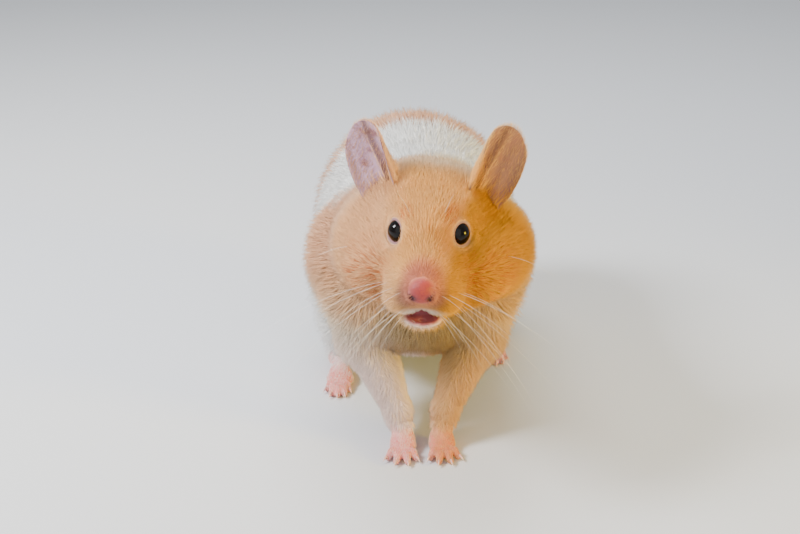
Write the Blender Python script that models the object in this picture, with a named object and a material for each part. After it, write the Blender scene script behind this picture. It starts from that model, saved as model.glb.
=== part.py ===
"""A Syrian hamster standing on stretched forelegs with its head raised, at life size.

The animal is modelled whole, out to the tips of its coat, as one smooth blend of rounded
masses, and is then parted with thin cuts into the pieces that a person would name.
It faces -Y, its left side is +X, and it stands on Z = 0 with its box centred on Z.
Lengths are in millimetres until each mesh is made, and in metres from there on.
"""

import math

import bmesh
import bpy
import numpy as np
from mathutils import Euler, Matrix, Vector

METRES = 0.001
GAP = 0.4  # the thin cut between two pieces
UNTURNED = Euler((0, 0, 0))
SIDES = {"left": 1, "right": -1}


def turned(pitch, roll, yaw, order="XYZ"):
    return Euler((math.radians(pitch), math.radians(roll), math.radians(yaw)), order)


# Head. Its own frame starts midway between the eyeballs, -Y forward and +Z up.
HEAD_AT = (1.2, -46.0, 64.0)
HEAD_TURN = turned(-1.5, 1, -6.5)
EYE_AT = (6.6, -0.7, 0.0)
EYE_RADIUS = 3.1
EYE_HOLLOW_AT, EYE_HOLLOW = (8.4, -3.6, 0.2), (2.3, 5.0, 2.5)
NOSE_AT = (0.0, -19.6, -7.6)
NOSE_TIP_AHEAD, NOSE_TIP = 2.2, (3.2, 3.0, 3.0)
MOUTH_HEIGHT = -15.0
JAW_SIZE, JAW_AHEAD = (13, 15, 12), 11

# Ears: cupped leaves on the back corners of the skull, standing up and out.
EAR_AT = (10.0, 12.0, 3.9)
EAR_TURN = turned(-6.5, 24, 36, "ZYX")
EAR_LENGTH, EAR_HALF_WIDTH = 20.4, 5.9
EAR_THICKNESS, EAR_RIM_THICKNESS = 1.7, 0.9
EAR_BASE_WIDTH, EAR_WIDENING, EAR_NARROWING = 0.9, 0.5, 0.4  # shares of the half width
EAR_TIP_FROM, EAR_TIP_ROUNDING = 0.68, 0.94
EAR_BOW, EAR_SWEEP, EAR_CUP, EAR_UNCUPPING = 1.6, 1.2, 0.085, 0.055
EAR_COLUMNS, EAR_ROWS = 8, 10

# Feet: the fore feet nearly touch and the hind feet are set wide. (x, y) of each palm.
FORE_PALM = {"left": (4.9, -36.0), "right": (-5.2, -36.0)}
HIND_PALM = {"left": (22.5, 22.0), "right": (-22.5, 3.0)}
# Each toe: how far it turns out in degrees, and its reach from the middle of the palm.
FORE_TOES = ((-30, 6.4), (-8, 7.6), (14, 7.5), (38, 6.4))
HIND_TOES = ((-26, 5.8), (-10, 8.0), (3, 8.4), (16, 8.0), (36, 5.8))
TOE_MIDDLE, TOE_TIP_HEIGHT, PALM_HEIGHT = 0.72, 0.9, 1.7
TAIL_ROOT, TAIL_BEND, TAIL_TIP = (0, 69, 24), (0, 77.5, 18.5), (0, 80.5, 15.5)

# Where the flesh is parted.
NECK_SLANT, HEAD_ENDS, NECK_ENDS = -30, 16.5, 28
WRIST_HEIGHT, ANKLE_HEIGHT = 8.5, 5.5
FORE_FOOT_SIZE, HIND_FOOT_SIZE = (12.4, 26), (14, 32)
SHOULDER_AT, SHOULDER_SIZE, SHOULDER_TURN = (18, -27.5, 14.5), (30, 34, 27), (-24, 18)
THIGH_AT, THIGH_BEHIND_PALM, THIGH_RADII = (25, 20), 19, (17, 21, 22)
TAIL_BLOCK_AT, TAIL_BLOCK_SIZE, TAIL_SLOPE = (0, 79, 17.7), (9.5, 14, 11), -33
FAR = 120  # longer than any piece

# Meshing.
FLESH_BOX = ((-42, -80, -4), (42, 92, 84))
FLESH_STEP, EVEN_STEP, FLESH_TRIANGLES = 1.2, 0.9, 4000
CUTTER_RINGS = 9
CLEARANCE_STEPS = 200
SETTLE_ROUNDS, SLOPE_STEP, LEAST_STEEPNESS = 3, 0.05, 0.1
FLAT_WITHIN = 0.3
CHUNK = 200000

COAT = {"colour": (0.80, 0.50, 0.27), "roughness": 0.8}
BARE_SKIN = {"colour": (0.80, 0.45, 0.42), "roughness": 0.5}
EYE_GLOSS = {"colour": (0.012, 0.010, 0.010), "roughness": 0.06}


# Distances from an array of points to rounded shapes, and their smooth union.

def length_of(vectors):
    return np.sqrt((vectors * vectors).sum(-1))


def into_frame(points, origin, turn):
    return (points - np.array(origin, np.float32)) @ np.array(turn.to_matrix(), np.float32)


def both_sides(points):
    mirrored = points.copy()
    mirrored[:, 0] = np.abs(mirrored[:, 0])
    return mirrored


def ellipsoid(points, centre, radii, pitch=0):
    local = into_frame(points, centre, turned(pitch, 0, 0))
    radii = np.array(radii, np.float32)
    reach = length_of(local / radii)
    return reach * (reach - 1) / np.maximum(length_of(local / (radii * radii)), 1e-6)


def limb(points, start, end, start_radius, end_radius):
    start, end = np.array(start, np.float32), np.array(end, np.float32)
    along = ((points - start) @ (end - start) / ((end - start) @ (end - start))).clip(0, 1)
    away = length_of(points - start - along[:, None] * (end - start))
    return away - start_radius - along * (end_radius - start_radius)


def blend(first, second, width):
    share = (0.5 + 0.5 * (first - second) / width).clip(0, 1)
    return first * (1 - share) + second * share - width * share * (1 - share)


def common(first, second, width):
    return -blend(-first, -second, width)


# The animal's masses.

def head(points):
    local = into_frame(points, HEAD_AT, HEAD_TURN)
    pair = both_sides(local)
    skull = ellipsoid(pair, (3.6, 14, 0.0), (11.2, 18, 11.4))
    brow = ellipsoid(local, (0, 1.0, 0.8), (7.6, 11.5, 8.2))
    pouches = ellipsoid(pair, (15.2, 18, -10.0), (10.6, 17, 13.0))
    bridge = limb(local, (0, -2, -1.5), (0, -13.5, -6.0), 6.6, 5.0)
    cheeks = ellipsoid(pair, (11.4, 5.0, -9.5), (10.2, 12.5, 9.4))
    muzzle = ellipsoid(local, (0, -8.0, -8.2), (10.2, 11.8, 6.6), 6)
    whisker_pads = ellipsoid(pair, (4.6, -13.8, -11.4), (4.9, 5.6, 3.7))
    nose = ellipsoid(local, NOSE_AT, (3.0, 2.2, 2.5))
    throat = ellipsoid(local, (0, 3, -14.0), (12, 14, 8.5))
    chin = ellipsoid(local, (0, -8.5, -15.4), (5.6, 6.6, 3.8))
    shape = blend(skull, brow, 4)
    shape = blend(shape, pouches, 6)
    shape = blend(shape, bridge, 4)
    shape = blend(shape, cheeks, 4)
    shape = blend(shape, muzzle, 5)
    shape = blend(shape, whisker_pads, 2.5)
    shape = blend(shape, nose, 2)
    shape = blend(shape, throat, 5)
    shape = blend(shape, chin, 3)
    return common(shape, -ellipsoid(pair, EYE_HOLLOW_AT, EYE_HOLLOW), 1.6)


def trunk(points):
    pair = both_sides(points)
    rump = ellipsoid(points, (0, 42, 37.5), (31, 34, 32.5))
    barrel = ellipsoid(points, (0, 14, 38.5), (29.5, 34, 31.5))
    chest = ellipsoid(points, (0, -8, 43), (25, 24, 24))
    shoulders = ellipsoid(pair, (13, -10, 44), (17.5, 19, 18))
    neck = limb(points, (0, -26, 58), (0, -6, 50), 17, 21)
    breast = ellipsoid(points, (0, -20, 36), (15, 12, 12))
    shape = blend(rump, barrel, 12)
    shape = blend(shape, chest, 12)
    shape = blend(shape, shoulders, 8)
    shape = blend(shape, neck, 8)
    shape = blend(shape, breast, 8)
    shape = blend(shape, limb(points, TAIL_ROOT, TAIL_BEND, 4.4, 2.4), 4)
    return blend(shape, limb(points, TAIL_BEND, TAIL_TIP, 2.4, 1.4), 1.5)


def toe(points, palm, sign, turn, reach, root, radius):
    angle = math.radians(turn) * sign

    def along(distance, height):
        x = palm[0] + math.sin(angle) * distance
        return (x, palm[1] - math.cos(angle) * distance, height)

    knuckle = along(reach * TOE_MIDDLE, PALM_HEIGHT)
    digit = limb(points, along(root, PALM_HEIGHT), knuckle, radius, radius)
    return blend(digit, limb(points, knuckle, along(reach, TOE_TIP_HEIGHT), radius, radius * 0.75), 0.5)


def fore_leg(points, side):
    sign, (x, y) = SIDES[side], FORE_PALM[side]
    shoulder, elbow = (sign * 15.0, -20, 37), (sign * 14.6, -17, 25)
    wrist, heel = (x * 1.15 + sign * 0.5, y + 6.5, 8.5), (x, y + 2.5, 2.9)
    shape = limb(points, shoulder, elbow, 12.0, 8.6)
    shape = blend(shape, limb(points, elbow, wrist, 7.6, 3.7), 4)
    shape = blend(shape, limb(points, wrist, heel, 3.6, 3.0), 2)
    shape = blend(shape, ellipsoid(points, (x, y, PALM_HEIGHT), (3.5, 4.0, 2.4)), 1.5)
    for turn, reach in FORE_TOES:
        shape = blend(shape, toe(points, (x, y), sign, turn, reach, 2.2, 1.15), 0.8)
    return shape


def hind_leg(points, side):
    sign, (x, y) = SIDES[side], HIND_PALM[side]
    knee, ankle = (sign * 21, y + 12, 12), (x, y + 11, 4.6)
    shape = ellipsoid(points, (sign * 18.5, y + 19, 25), (13.5, 20, 20), -12)
    shape = blend(shape, limb(points, knee, ankle, 8, 4.2), 4)
    shape = blend(shape, limb(points, (x, y + 11, 3.2), (x, y + 3, 2.4), 3.3, 3.1), 2)
    shape = blend(shape, ellipsoid(points, (x, y, PALM_HEIGHT), (4.0, 4.2, 2.4)), 1.5)
    for turn, reach in HIND_TOES:
        shape = blend(shape, toe(points, (x, y), sign, turn, reach, 3.0, 1.25), 0.8)
    return shape


def flesh(points):
    shape = trunk(points)
    for side in SIDES:
        shape = blend(shape, hind_leg(points, side), 3)
        shape = blend(shape, fore_leg(points, side), 3)
    shape = blend(shape, head(points), 7)
    floor = -points[:, 2]
    return np.maximum(shape, floor)


# Meshing: one vertex in each grid cell that a surface crosses, then moved onto the surface.

def mesh_of(field, low, high, step):
    axes = [np.arange(a, b + step, step, dtype=np.float32) for a, b in zip(low, high)]
    grid = np.stack(np.meshgrid(*axes, indexing="ij"), -1).reshape(-1, 3)
    chunks = np.array_split(grid, 1 + len(grid) // CHUNK)
    value = np.concatenate([field(chunk) for chunk in chunks])
    value = value.reshape([len(axis) for axis in axes])
    inside = value < 0
    corners = [np.array((i, j, k)) for i in (0, 1) for j in (0, 1) for k in (0, 1)]
    across, deep, tall = [len(axis) - 1 for axis in axes]
    count = np.zeros((across, deep, tall), np.int8)
    for i, j, k in corners:
        count += inside[i:i + across, j:j + deep, k:k + tall]
    cells = np.argwhere((count > 0) & (count < len(corners)))
    number = np.full(count.shape, -1, np.int64)
    number[tuple(cells.T)] = np.arange(len(cells))
    total, crossings = np.zeros((len(cells), 3)), np.zeros(len(cells))
    for corner in corners:
        for axis in range(3):
            if corner[axis]:
                continue
            near, far = cells + corner, cells + corner
            far[:, axis] += 1
            near_value, far_value = value[tuple(near.T)], value[tuple(far.T)]
            crossed = (near_value < 0) != (far_value < 0)
            share = near_value / np.where(crossed, near_value - far_value, 1)
            near_at = np.stack([axes[c][near[:, c]] for c in range(3)], 1)
            far_at = np.stack([axes[c][far[:, c]] for c in range(3)], 1)
            crossing = near_at + share[:, None] * (far_at - near_at)
            total += crossing * crossed[:, None]
            crossings += crossed
    vertices = settled(field, (total / crossings[:, None]).astype(np.float32), step)
    return vertices, faces_between(inside, number)


def faces_between(inside, number):
    """One four-sided face round each grid edge that the surface crosses, facing outwards."""
    faces = []
    for axis in range(3):
        others = [c for c in range(3) if c != axis]
        here, beyond = [slice(1, -1)] * 3, [slice(1, -1)] * 3
        here[axis], beyond[axis] = slice(0, -1), slice(1, None)
        filled, next_filled = inside[tuple(here)], inside[tuple(beyond)]
        edges = np.argwhere(filled != next_filled)
        outward = filled[tuple(edges.T)] != (axis == 1)
        edges[:, others] += 1
        ring = []
        for back_first, back_second in ((0, 0), (1, 0), (1, 1), (0, 1)):
            cell = edges.copy()
            cell[:, others[0]] -= back_first
            cell[:, others[1]] -= back_second
            ring.append(number[tuple(cell.T)])
        ring = np.stack(ring, 1)
        ring[~outward] = ring[~outward][:, ::-1]
        faces.append(ring)
    return np.concatenate(faces)


def settled(field, points, step):
    for _ in range(SETTLE_ROUNDS):
        slope = np.zeros_like(points)
        for axis in range(3):
            offset = np.zeros(3, np.float32)
            offset[axis] = SLOPE_STEP
            rise = field(points + offset) - field(points - offset)
            slope[:, axis] = rise / (2 * SLOPE_STEP)
        steepness = np.maximum((slope * slope).sum(1), LEAST_STEEPNESS)
        move = field(points)[:, None] * slope / steepness[:, None]
        distance = np.maximum(length_of(move)[:, None], 1e-6)
        points = points - move * np.minimum(1, step / 2 / distance)
    return points


# Blender objects and cuts.

def add_object(name, mesh):
    made = bpy.data.objects.new(name, mesh)
    bpy.context.scene.collection.objects.link(made)
    return made


def object_from(bm, name):
    mesh = bpy.data.meshes.new(name)
    bm.to_mesh(mesh)
    bm.free()
    return add_object(name, mesh)


def applied(subject):
    graph = bpy.context.evaluated_depsgraph_get()
    mesh = bpy.data.meshes.new_from_object(subject.evaluated_get(graph))
    subject.modifiers.clear()
    subject.data = mesh
    return subject


def modelled(name, field, box):
    vertices, faces = mesh_of(field, *box, FLESH_STEP)
    mesh = bpy.data.meshes.new(name)
    mesh.from_pydata((vertices * METRES).tolist(), [], faces.tolist())
    made = add_object(name, mesh)
    even = made.modifiers.new("even", "REMESH")
    even.mode = "VOXEL"
    even.voxel_size = EVEN_STEP * METRES
    applied(made)
    fewer = made.modifiers.new("fewer", "DECIMATE")
    fewer.ratio = FLESH_TRIANGLES / (2 * len(made.data.polygons))
    return applied(made)


def shaped(name, primitive, centre, size, turn):
    """A unit block or ball, brought to a size, turned and placed."""
    bm = bmesh.new()
    primitive(bm)
    place = Matrix.Translation(Vector(centre)) @ turn.to_matrix().to_4x4()
    whole = Matrix.Scale(METRES, 4) @ place @ Matrix.Diagonal((*size, 1))
    bmesh.ops.transform(bm, matrix=whole, verts=bm.verts)
    return object_from(bm, name)


def unit_block(bm):
    bmesh.ops.create_cube(bm, size=1)


def unit_ball(bm):
    bmesh.ops.create_uvsphere(bm, u_segments=2 * CUTTER_RINGS, v_segments=CUTTER_RINGS, radius=1)


def cut(subject, other, operation):
    modifier = subject.modifiers.new("cut", "BOOLEAN")
    modifier.operation = operation
    modifier.solver = "EXACT"
    modifier.object = other
    applied(subject)
    bpy.data.objects.remove(other)
    return subject


def part_off(name, body, primitive, centre, size, turn=UNTURNED):
    """Part off what lies inside a shape, and leave a gap round it in the rest."""
    margin = 2 * GAP if primitive is unit_block else GAP
    grown = [length + margin for length in size]
    piece = add_object(name, body.data.copy())
    cut(piece, shaped("inner", primitive, centre, size, turn), "INTERSECT")
    cut(body, shaped("outer", primitive, centre, grown, turn), "DIFFERENCE")
    return piece


def stand_flat(subject):
    for vertex in subject.data.vertices:
        if vertex.co.z < FLAT_WITHIN * METRES:
            vertex.co.z = 0


def in_world(head_point):
    return HEAD_TURN.to_matrix() @ Vector(head_point) + Vector(HEAD_AT)


# The sub-parts.

def add_eye(body, side):
    eye_at = in_world((SIDES[side] * EYE_AT[0], EYE_AT[1], EYE_AT[2]))
    socket = shaped("socket", unit_ball, eye_at, [EYE_RADIUS + GAP] * 3, HEAD_TURN)
    cut(body, socket, "DIFFERENCE")
    return shaped("eye_" + side, unit_ball, eye_at, [EYE_RADIUS] * 3, HEAD_TURN)


def ear_point(side, across, up, face):
    """A point of an ear: across from -1 to 1, up from 0 to 1, face -1 in front and 1 behind."""
    half_width = EAR_HALF_WIDTH * (EAR_BASE_WIDTH + EAR_WIDENING * up - EAR_NARROWING * up * up)
    into_tip = max(0, (up - EAR_TIP_FROM) / (1 - EAR_TIP_FROM))
    half_width *= math.sqrt(1 - EAR_TIP_ROUNDING * into_tip ** 2)
    x = across * half_width + EAR_SWEEP * math.sin(math.pi * up)
    middle = EAR_BOW * math.sin(math.pi * up) - (EAR_CUP - EAR_UNCUPPING * up) * x * x
    edge = max(abs(across), (2 * up - 1)) ** 4
    thickness = EAR_THICKNESS + (EAR_RIM_THICKNESS - EAR_THICKNESS) * edge
    local = EAR_TURN.to_matrix() @ Vector((x, middle + face * thickness / 2, up * EAR_LENGTH))
    local += Vector(EAR_AT)
    return in_world((SIDES[side] * local.x, local.y, local.z))


def lowest_clear(side, across):
    """How far up the ear a column leaves the head, with the gap, on both its faces."""
    heights = [step / CLEARANCE_STEPS for step in range(CLEARANCE_STEPS)]
    for up in heights:
        both = np.array([ear_point(side, across, up, face) for face in (-1, 1)], np.float32)
        if (flesh(both) > GAP).all():
            return up
    return heights[-1]


def add_ear(side):
    bm = bmesh.new()
    columns = [2 * c / EAR_COLUMNS - 1 for c in range(EAR_COLUMNS + 1)]
    grids = {-1: [], 1: []}
    for across in columns:
        start = lowest_clear(side, across)
        for face in grids:
            ups = [start + (1 - start) * r / EAR_ROWS for r in range(EAR_ROWS + 1)]
            points = [ear_point(side, across, up, face) * METRES for up in ups]
            grids[face].append([bm.verts.new(point) for point in points])
    for c in range(EAR_COLUMNS):
        for r in range(EAR_ROWS):
            for grid in grids.values():
                bm.faces.new((grid[c][r], grid[c + 1][r], grid[c + 1][r + 1], grid[c][r + 1]))
        for r in (0, EAR_ROWS):
            front, back = grids[-1], grids[1]
            bm.faces.new((front[c][r], front[c + 1][r], back[c + 1][r], back[c][r]))
    for r in range(EAR_ROWS):
        for c in (0, EAR_COLUMNS):
            front, back = grids[-1][c], grids[1][c]
            bm.faces.new((front[r], front[r + 1], back[r + 1], back[r]))
    bmesh.ops.recalc_face_normals(bm, faces=bm.faces)
    return object_from(bm, "ear_" + side)


def part_fore_leg(body, side):
    sign, (x, y) = SIDES[side], FORE_PALM[side]
    foot_size = (*FORE_FOOT_SIZE, 2 * WRIST_HEIGHT)
    foot = part_off("front_foot_" + side, body, unit_block, (x + sign * 1.5, y - 1, 0), foot_size)
    lean_back, lean_out = SHOULDER_TURN
    shoulder_at = (sign * SHOULDER_AT[0], SHOULDER_AT[1], SHOULDER_AT[2])
    turn = turned(lean_back, lean_out * sign, 0)
    leg = part_off("front_leg_" + side, body, unit_block, shoulder_at, SHOULDER_SIZE, turn)
    return [foot, leg]


def part_hind_leg(body, side):
    sign, (x, y) = SIDES[side], HIND_PALM[side]
    foot_size = (*HIND_FOOT_SIZE, 2 * ANKLE_HEIGHT)
    foot = part_off("hind_foot_" + side, body, unit_block, (x, y + 3, 0), foot_size)
    thigh_at = (sign * THIGH_AT[0], y + THIGH_BEHIND_PALM, THIGH_AT[1])
    leg = part_off("hind_leg_" + side, body, unit_ball, thigh_at, THIGH_RADII)
    return [foot, leg]


def part_behind_head(name, body, ends):
    """Part off all that lies ahead of a slanting plane, which ends the head or the neck."""
    slant = turned(NECK_SLANT, 0, 0).to_matrix()
    centre = in_world(slant @ Vector((0, ends - FAR / 2, 0)))
    turn = (HEAD_TURN.to_matrix() @ slant).to_euler()
    return part_off(name, body, unit_block, centre, (FAR, FAR, FAR), turn)


def finish(piece, look):
    made = bpy.data.materials.new(piece.name + "_finish")
    made.use_nodes = True
    surface = made.node_tree.nodes["Principled BSDF"]
    surface.inputs["Base Color"].default_value = (*look["colour"], 1)
    surface.inputs["Roughness"].default_value = look["roughness"]
    surface.inputs["Metallic"].default_value = 0
    piece.data.materials.clear()
    piece.data.materials.append(made)


def centre_on_origin(pieces):
    corners = [vertex.co for piece in pieces for vertex in piece.data.vertices]
    middle = [(min(c[i] for c in corners) + max(c[i] for c in corners)) / 2 for i in (0, 1)]
    for piece in pieces:
        piece.data.transform(Matrix.Translation((-middle[0], -middle[1], 0)))


def build():
    for leftover in list(bpy.data.objects):
        bpy.data.objects.remove(leftover)

    body = modelled("trunk", flesh, FLESH_BOX)
    stand_flat(body)
    eyes = [add_eye(body, side) for side in SIDES]
    ears = [add_ear(side) for side in SIDES]
    nose_tip_at = in_world(Vector(NOSE_AT) - Vector((0, NOSE_TIP_AHEAD, 0)))
    nose = part_off("nose", body, unit_ball, nose_tip_at, NOSE_TIP, HEAD_TURN)
    jaw_at = in_world((0, -JAW_AHEAD, MOUTH_HEIGHT - JAW_SIZE[2] / 2))
    jaw = part_off("lower_jaw", body, unit_block, jaw_at, JAW_SIZE, HEAD_TURN)
    feet, legs = [], []
    for side in SIDES:
        for part_leg in (part_fore_leg, part_hind_leg):
            foot, leg = part_leg(body, side)
            feet.append(foot)
            legs.append(leg)
    tail = part_off("tail", body, unit_block, TAIL_BLOCK_AT, TAIL_BLOCK_SIZE, turned(TAIL_SLOPE, 0, 0))
    head_piece = part_behind_head("head", body, HEAD_ENDS)
    neck = part_behind_head("neck", body, NECK_ENDS)

    furred = [body, head_piece, neck, jaw] + legs
    bare = ears + [nose, tail] + feet
    for pieces, look in ((furred, COAT), (bare, BARE_SKIN), (eyes, EYE_GLOSS)):
        for piece in pieces:
            finish(piece, look)
    centre_on_origin(furred + bare + eyes)


build()
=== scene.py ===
import math

import bmesh
import bpy
import numpy as np
from mathutils import Euler, Matrix, Vector


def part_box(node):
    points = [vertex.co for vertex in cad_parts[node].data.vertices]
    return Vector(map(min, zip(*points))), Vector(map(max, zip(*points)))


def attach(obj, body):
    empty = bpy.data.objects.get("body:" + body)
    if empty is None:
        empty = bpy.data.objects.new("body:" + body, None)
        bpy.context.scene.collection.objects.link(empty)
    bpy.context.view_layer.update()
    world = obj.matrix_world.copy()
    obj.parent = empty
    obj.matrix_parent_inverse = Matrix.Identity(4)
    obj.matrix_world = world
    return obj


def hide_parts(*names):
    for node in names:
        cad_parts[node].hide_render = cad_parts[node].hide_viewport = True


# A golden banded Syrian hamster at life size: one skin, eyes, claws, whiskers and a coat of tufts.
# It faces -Y and its left side is +X. Sizes are in millimetres and degrees in the maker's own
# frame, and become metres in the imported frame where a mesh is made.

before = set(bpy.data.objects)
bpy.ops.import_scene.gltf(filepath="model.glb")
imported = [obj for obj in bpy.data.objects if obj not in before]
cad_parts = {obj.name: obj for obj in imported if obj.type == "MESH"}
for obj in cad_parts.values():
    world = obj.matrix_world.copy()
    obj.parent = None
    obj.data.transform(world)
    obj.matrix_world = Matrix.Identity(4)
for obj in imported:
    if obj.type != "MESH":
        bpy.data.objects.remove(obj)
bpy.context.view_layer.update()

millimetre = 0.001
sides = {"left": 1, "right": -1}


def turned(pitch, roll, yaw, order="XYZ"):
    return Euler((math.radians(pitch), math.radians(roll), math.radians(yaw)), order)


# The head's own frame starts midway between the eyeballs, -Y forward and +Z up.
head = {
    "at": (1.2, -46.0, 64.0),
    "turn": turned(-1.5, 1, -6.5),
    "eyeAt": (6.6, -0.7, 0.0),
    "eyeLook": (0.77, -0.62, 0.12),
    "noseAt": (0.0, -19.6, -7.6),
}
headTurn = head["turn"].to_matrix()
eyeLook = Vector(head["eyeLook"]).normalized()


def middleOf(*nodes):
    corners = [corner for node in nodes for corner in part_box(node)]
    return sum(corners, Vector()) / len(corners)


def fromHead(point):
    return headTurn @ Vector(point) + Vector(head["at"])


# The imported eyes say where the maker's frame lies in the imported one.
eyesAhead = headTurn @ Vector((0, head["eyeAt"][1], head["eyeAt"][2]))
frameShift = middleOf("eye_left", "eye_right") / millimetre - Vector(head["at"]) - eyesAhead


def inFrame(point):
    return (Vector(point) + frameShift) * millimetre


def newMesh(name, points, faces=()):
    mesh = bpy.data.meshes.new(name)
    mesh.from_pydata(points, [], faces)
    return mesh


def meshFrom(bm, name):
    mesh = bpy.data.meshes.new(name)
    bm.to_mesh(mesh)
    bm.free()
    return mesh


def addObject(name, mesh):
    made = bpy.data.objects.new(name, mesh)
    bpy.context.scene.collection.objects.link(made)
    return made


# Camera

view = {
    "azimuth": -2,
    "elevation": 20,
    "distance": 314,
    "lens": 60,
    "sensor": 36,
    "nearest": 0.01,
    "target": (1.2, -46, 64),
    "shift": (-0.03625, -0.045),
}


def addCamera():
    azimuth = math.radians(view["azimuth"])
    elevation = math.radians(view["elevation"])
    flat = math.cos(elevation)
    back = Vector((math.sin(azimuth) * flat, -math.cos(azimuth) * flat, math.sin(elevation)))
    camera = bpy.data.cameras.new("camera")
    camera.lens = view["lens"]
    camera.sensor_width = view["sensor"]
    camera.clip_start = view["nearest"]
    camera.shift_x, camera.shift_y = view["shift"]
    made = addObject("camera", camera)
    made.location = inFrame(view["target"]) + back * view["distance"] * millimetre
    made.rotation_euler = (-back).to_track_quat("-Z", "Y").to_euler()
    bpy.context.scene.camera = made


addCamera()
print("camera set")


# Distances from an array of points to rounded shapes, and their smooth unions

tiny = 1e-6
shortest = 1e-3


def array(values):
    return np.array(values, np.float32)


def lengthOf(vectors):
    return np.sqrt((vectors * vectors).sum(-1))


def between(first, second, share):
    return first + (second - first) * share


def intoFrame(points, origin, turn):
    return (points - array(origin)) @ array(turn.to_matrix())


def bothSides(points):
    mirrored = points.copy()
    mirrored[:, 0] = np.abs(mirrored[:, 0])
    return mirrored


def ellipsoid(points, centre, radii, pitch=0, roll=0, yaw=0):
    local = intoFrame(points, centre, turned(pitch, roll, yaw))
    radii = array(radii)
    reach = lengthOf(local / radii)
    return reach * (reach - 1) / np.maximum(lengthOf(local / (radii * radii)), tiny)


def limb(points, start, end, startRadius, endRadius):
    start = array(start)
    run = array(end) - start
    along = ((points - start) @ run / (run @ run)).clip(0, 1)
    away = lengthOf(points - start - along[:, None] * run)
    return away - between(startRadius, endRadius, along)


def blend(first, second, width):
    share = (0.5 + 0.5 * (first - second) / width).clip(0, 1)
    return first * (1 - share) + second * share - width * share * (1 - share)


def common(first, second, width):
    return -blend(-first, -second, width)


def carved(shape, tool, width):
    return common(shape, -tool, width)


def smooth(value, start, end):
    share = ((value - start) / (end - start)).clip(0, 1)
    return share * share * (3 - 2 * share)


# The animal's masses, out to the tips of its coat. Each has a centre, or runs from one point to
# another, and blends into those before it over a width. A paired one has a twin on the other side.

def massOf(parts, points):
    pair = bothSides(points)
    total = None
    for part in parts.values():
        where = pair if part.get("paired") else points
        if "to" in part:
            shape = limb(where, part["at"], part["to"], *part["radii"])
        else:
            shape = ellipsoid(where, part["at"], part["radii"], part.get("pitch", 0))
        total = shape if total is None else blend(total, shape, part["blend"])
    return total


headParts = {
    "crown": {"paired": True, "at": (3.6, 14, 0), "radii": (11.2, 18, 11.4)},
    "forehead": {"at": (0, 1, 0.8), "radii": (7.6, 11.5, 8.2), "blend": 4},
    "nape": {"paired": True, "at": (15.2, 18, -10), "radii": (10.6, 17, 13), "blend": 6},
    "bridge": {"at": (0, -2, -1.5), "to": (0, -13.5, -6), "radii": (6.6, 5), "blend": 4},
    "pouch": {"paired": True, "at": (11.4, 5, -9.5), "radii": (10.2, 12.5, 9.4), "blend": 4},
    "muzzle": {"at": (0, -8, -8.2), "radii": (10.2, 11.8, 6.6), "pitch": 6, "blend": 5},
    "whiskerPad": {"paired": True, "at": (4.6, -13.8, -11.4), "radii": (4.9, 5.6, 3.7), "blend": 2.5},
    "nose": {"at": head["noseAt"], "radii": (3, 2.2, 2.5), "blend": 2},
    "throat": {"at": (0, 3, -14), "radii": (12, 14, 8.5), "blend": 5},
    "chin": {"at": (0, -8.5, -15.4), "radii": (5.6, 6.6, 3.8), "blend": 3},
}
trunkParts = {
    "rump": {"at": (0, 42, 37.5), "radii": (31, 34, 32.5)},
    "belly": {"at": (0, 14, 38.5), "radii": (29.5, 34, 31.5), "blend": 12},
    "breast": {"at": (0, -8, 43), "radii": (25, 24, 24), "blend": 12},
    "shoulder": {"paired": True, "at": (13, -10, 44), "radii": (17.5, 19, 18), "blend": 8},
    "neck": {"at": (0, -26, 58), "to": (0, -6, 50), "radii": (17, 21), "blend": 8},
    "chest": {"at": (0, -20, 36), "radii": (15, 12, 12), "blend": 8},
}
tailParts = {
    "root": {"at": (0, 69, 24), "to": (0, 77.5, 18.5), "radii": (4.4, 2.4)},
    "tip": {"at": (0, 77.5, 18.5), "to": (0, 80.5, 15.5), "radii": (2.4, 1.4), "blend": 1.5},
}

# Feet: each toe's turn and its reach from the middle of the palm, and the bare foot's sole
foreFeet = {
    "palms": {"left": (4.9, -36.0), "right": (-5.2, -36.0)},
    "toes": ((-30, 6.4), (-8, 7.6), (14, 7.5), (38, 6.4)),
    "toeRoot": 2.2,
    "toeRadius": 1.15,
    "palmRadii": (3.5, 4.0, 2.4),
    "sole": ((1, 2.5, 2.9), (1.1, 5.2, 6.4)),
    "soleRadii": (3.0, 2.3),
    "middle": 4,
}
hindFeet = {
    "palms": {"left": (22.5, 22.0), "right": (-22.5, 3.0)},
    "toes": ((-26, 5.8), (-10, 8.0), (3, 8.4), (16, 8.0), (36, 5.8)),
    "toeRoot": 3.0,
    "toeRadius": 1.25,
    "palmRadii": (4.0, 4.2, 2.4),
    "sole": ((1, 3, 2.4), (1, 11, 3.2)),
    "soleRadii": (3.0, 2.6),
    "middle": 7,
}
palmHeight = 1.7
knuckleAt = 0.72
tipHeight = 0.9


def toePoint(feet, side, toe, share, height):
    turn, reach = toe
    x, y = feet["palms"][side]
    angle = math.radians(turn) * sides[side]
    return (x + math.sin(angle) * reach * share, y - math.cos(angle) * reach * share, height)


def withToes(shape, points, feet, side, width):
    radius = feet["toeRadius"]
    for toe in feet["toes"]:
        root = toePoint(feet, side, toe, feet["toeRoot"] / toe[1], palmHeight)
        knuckle = toePoint(feet, side, toe, knuckleAt, palmHeight)
        tip = toePoint(feet, side, toe, 1, tipHeight)
        bent = limb(points, root, knuckle, radius, radius)
        bent = blend(bent, limb(points, knuckle, tip, radius, radius * 0.75), 0.5)
        shape = blend(shape, bent, width)
    return shape


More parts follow.
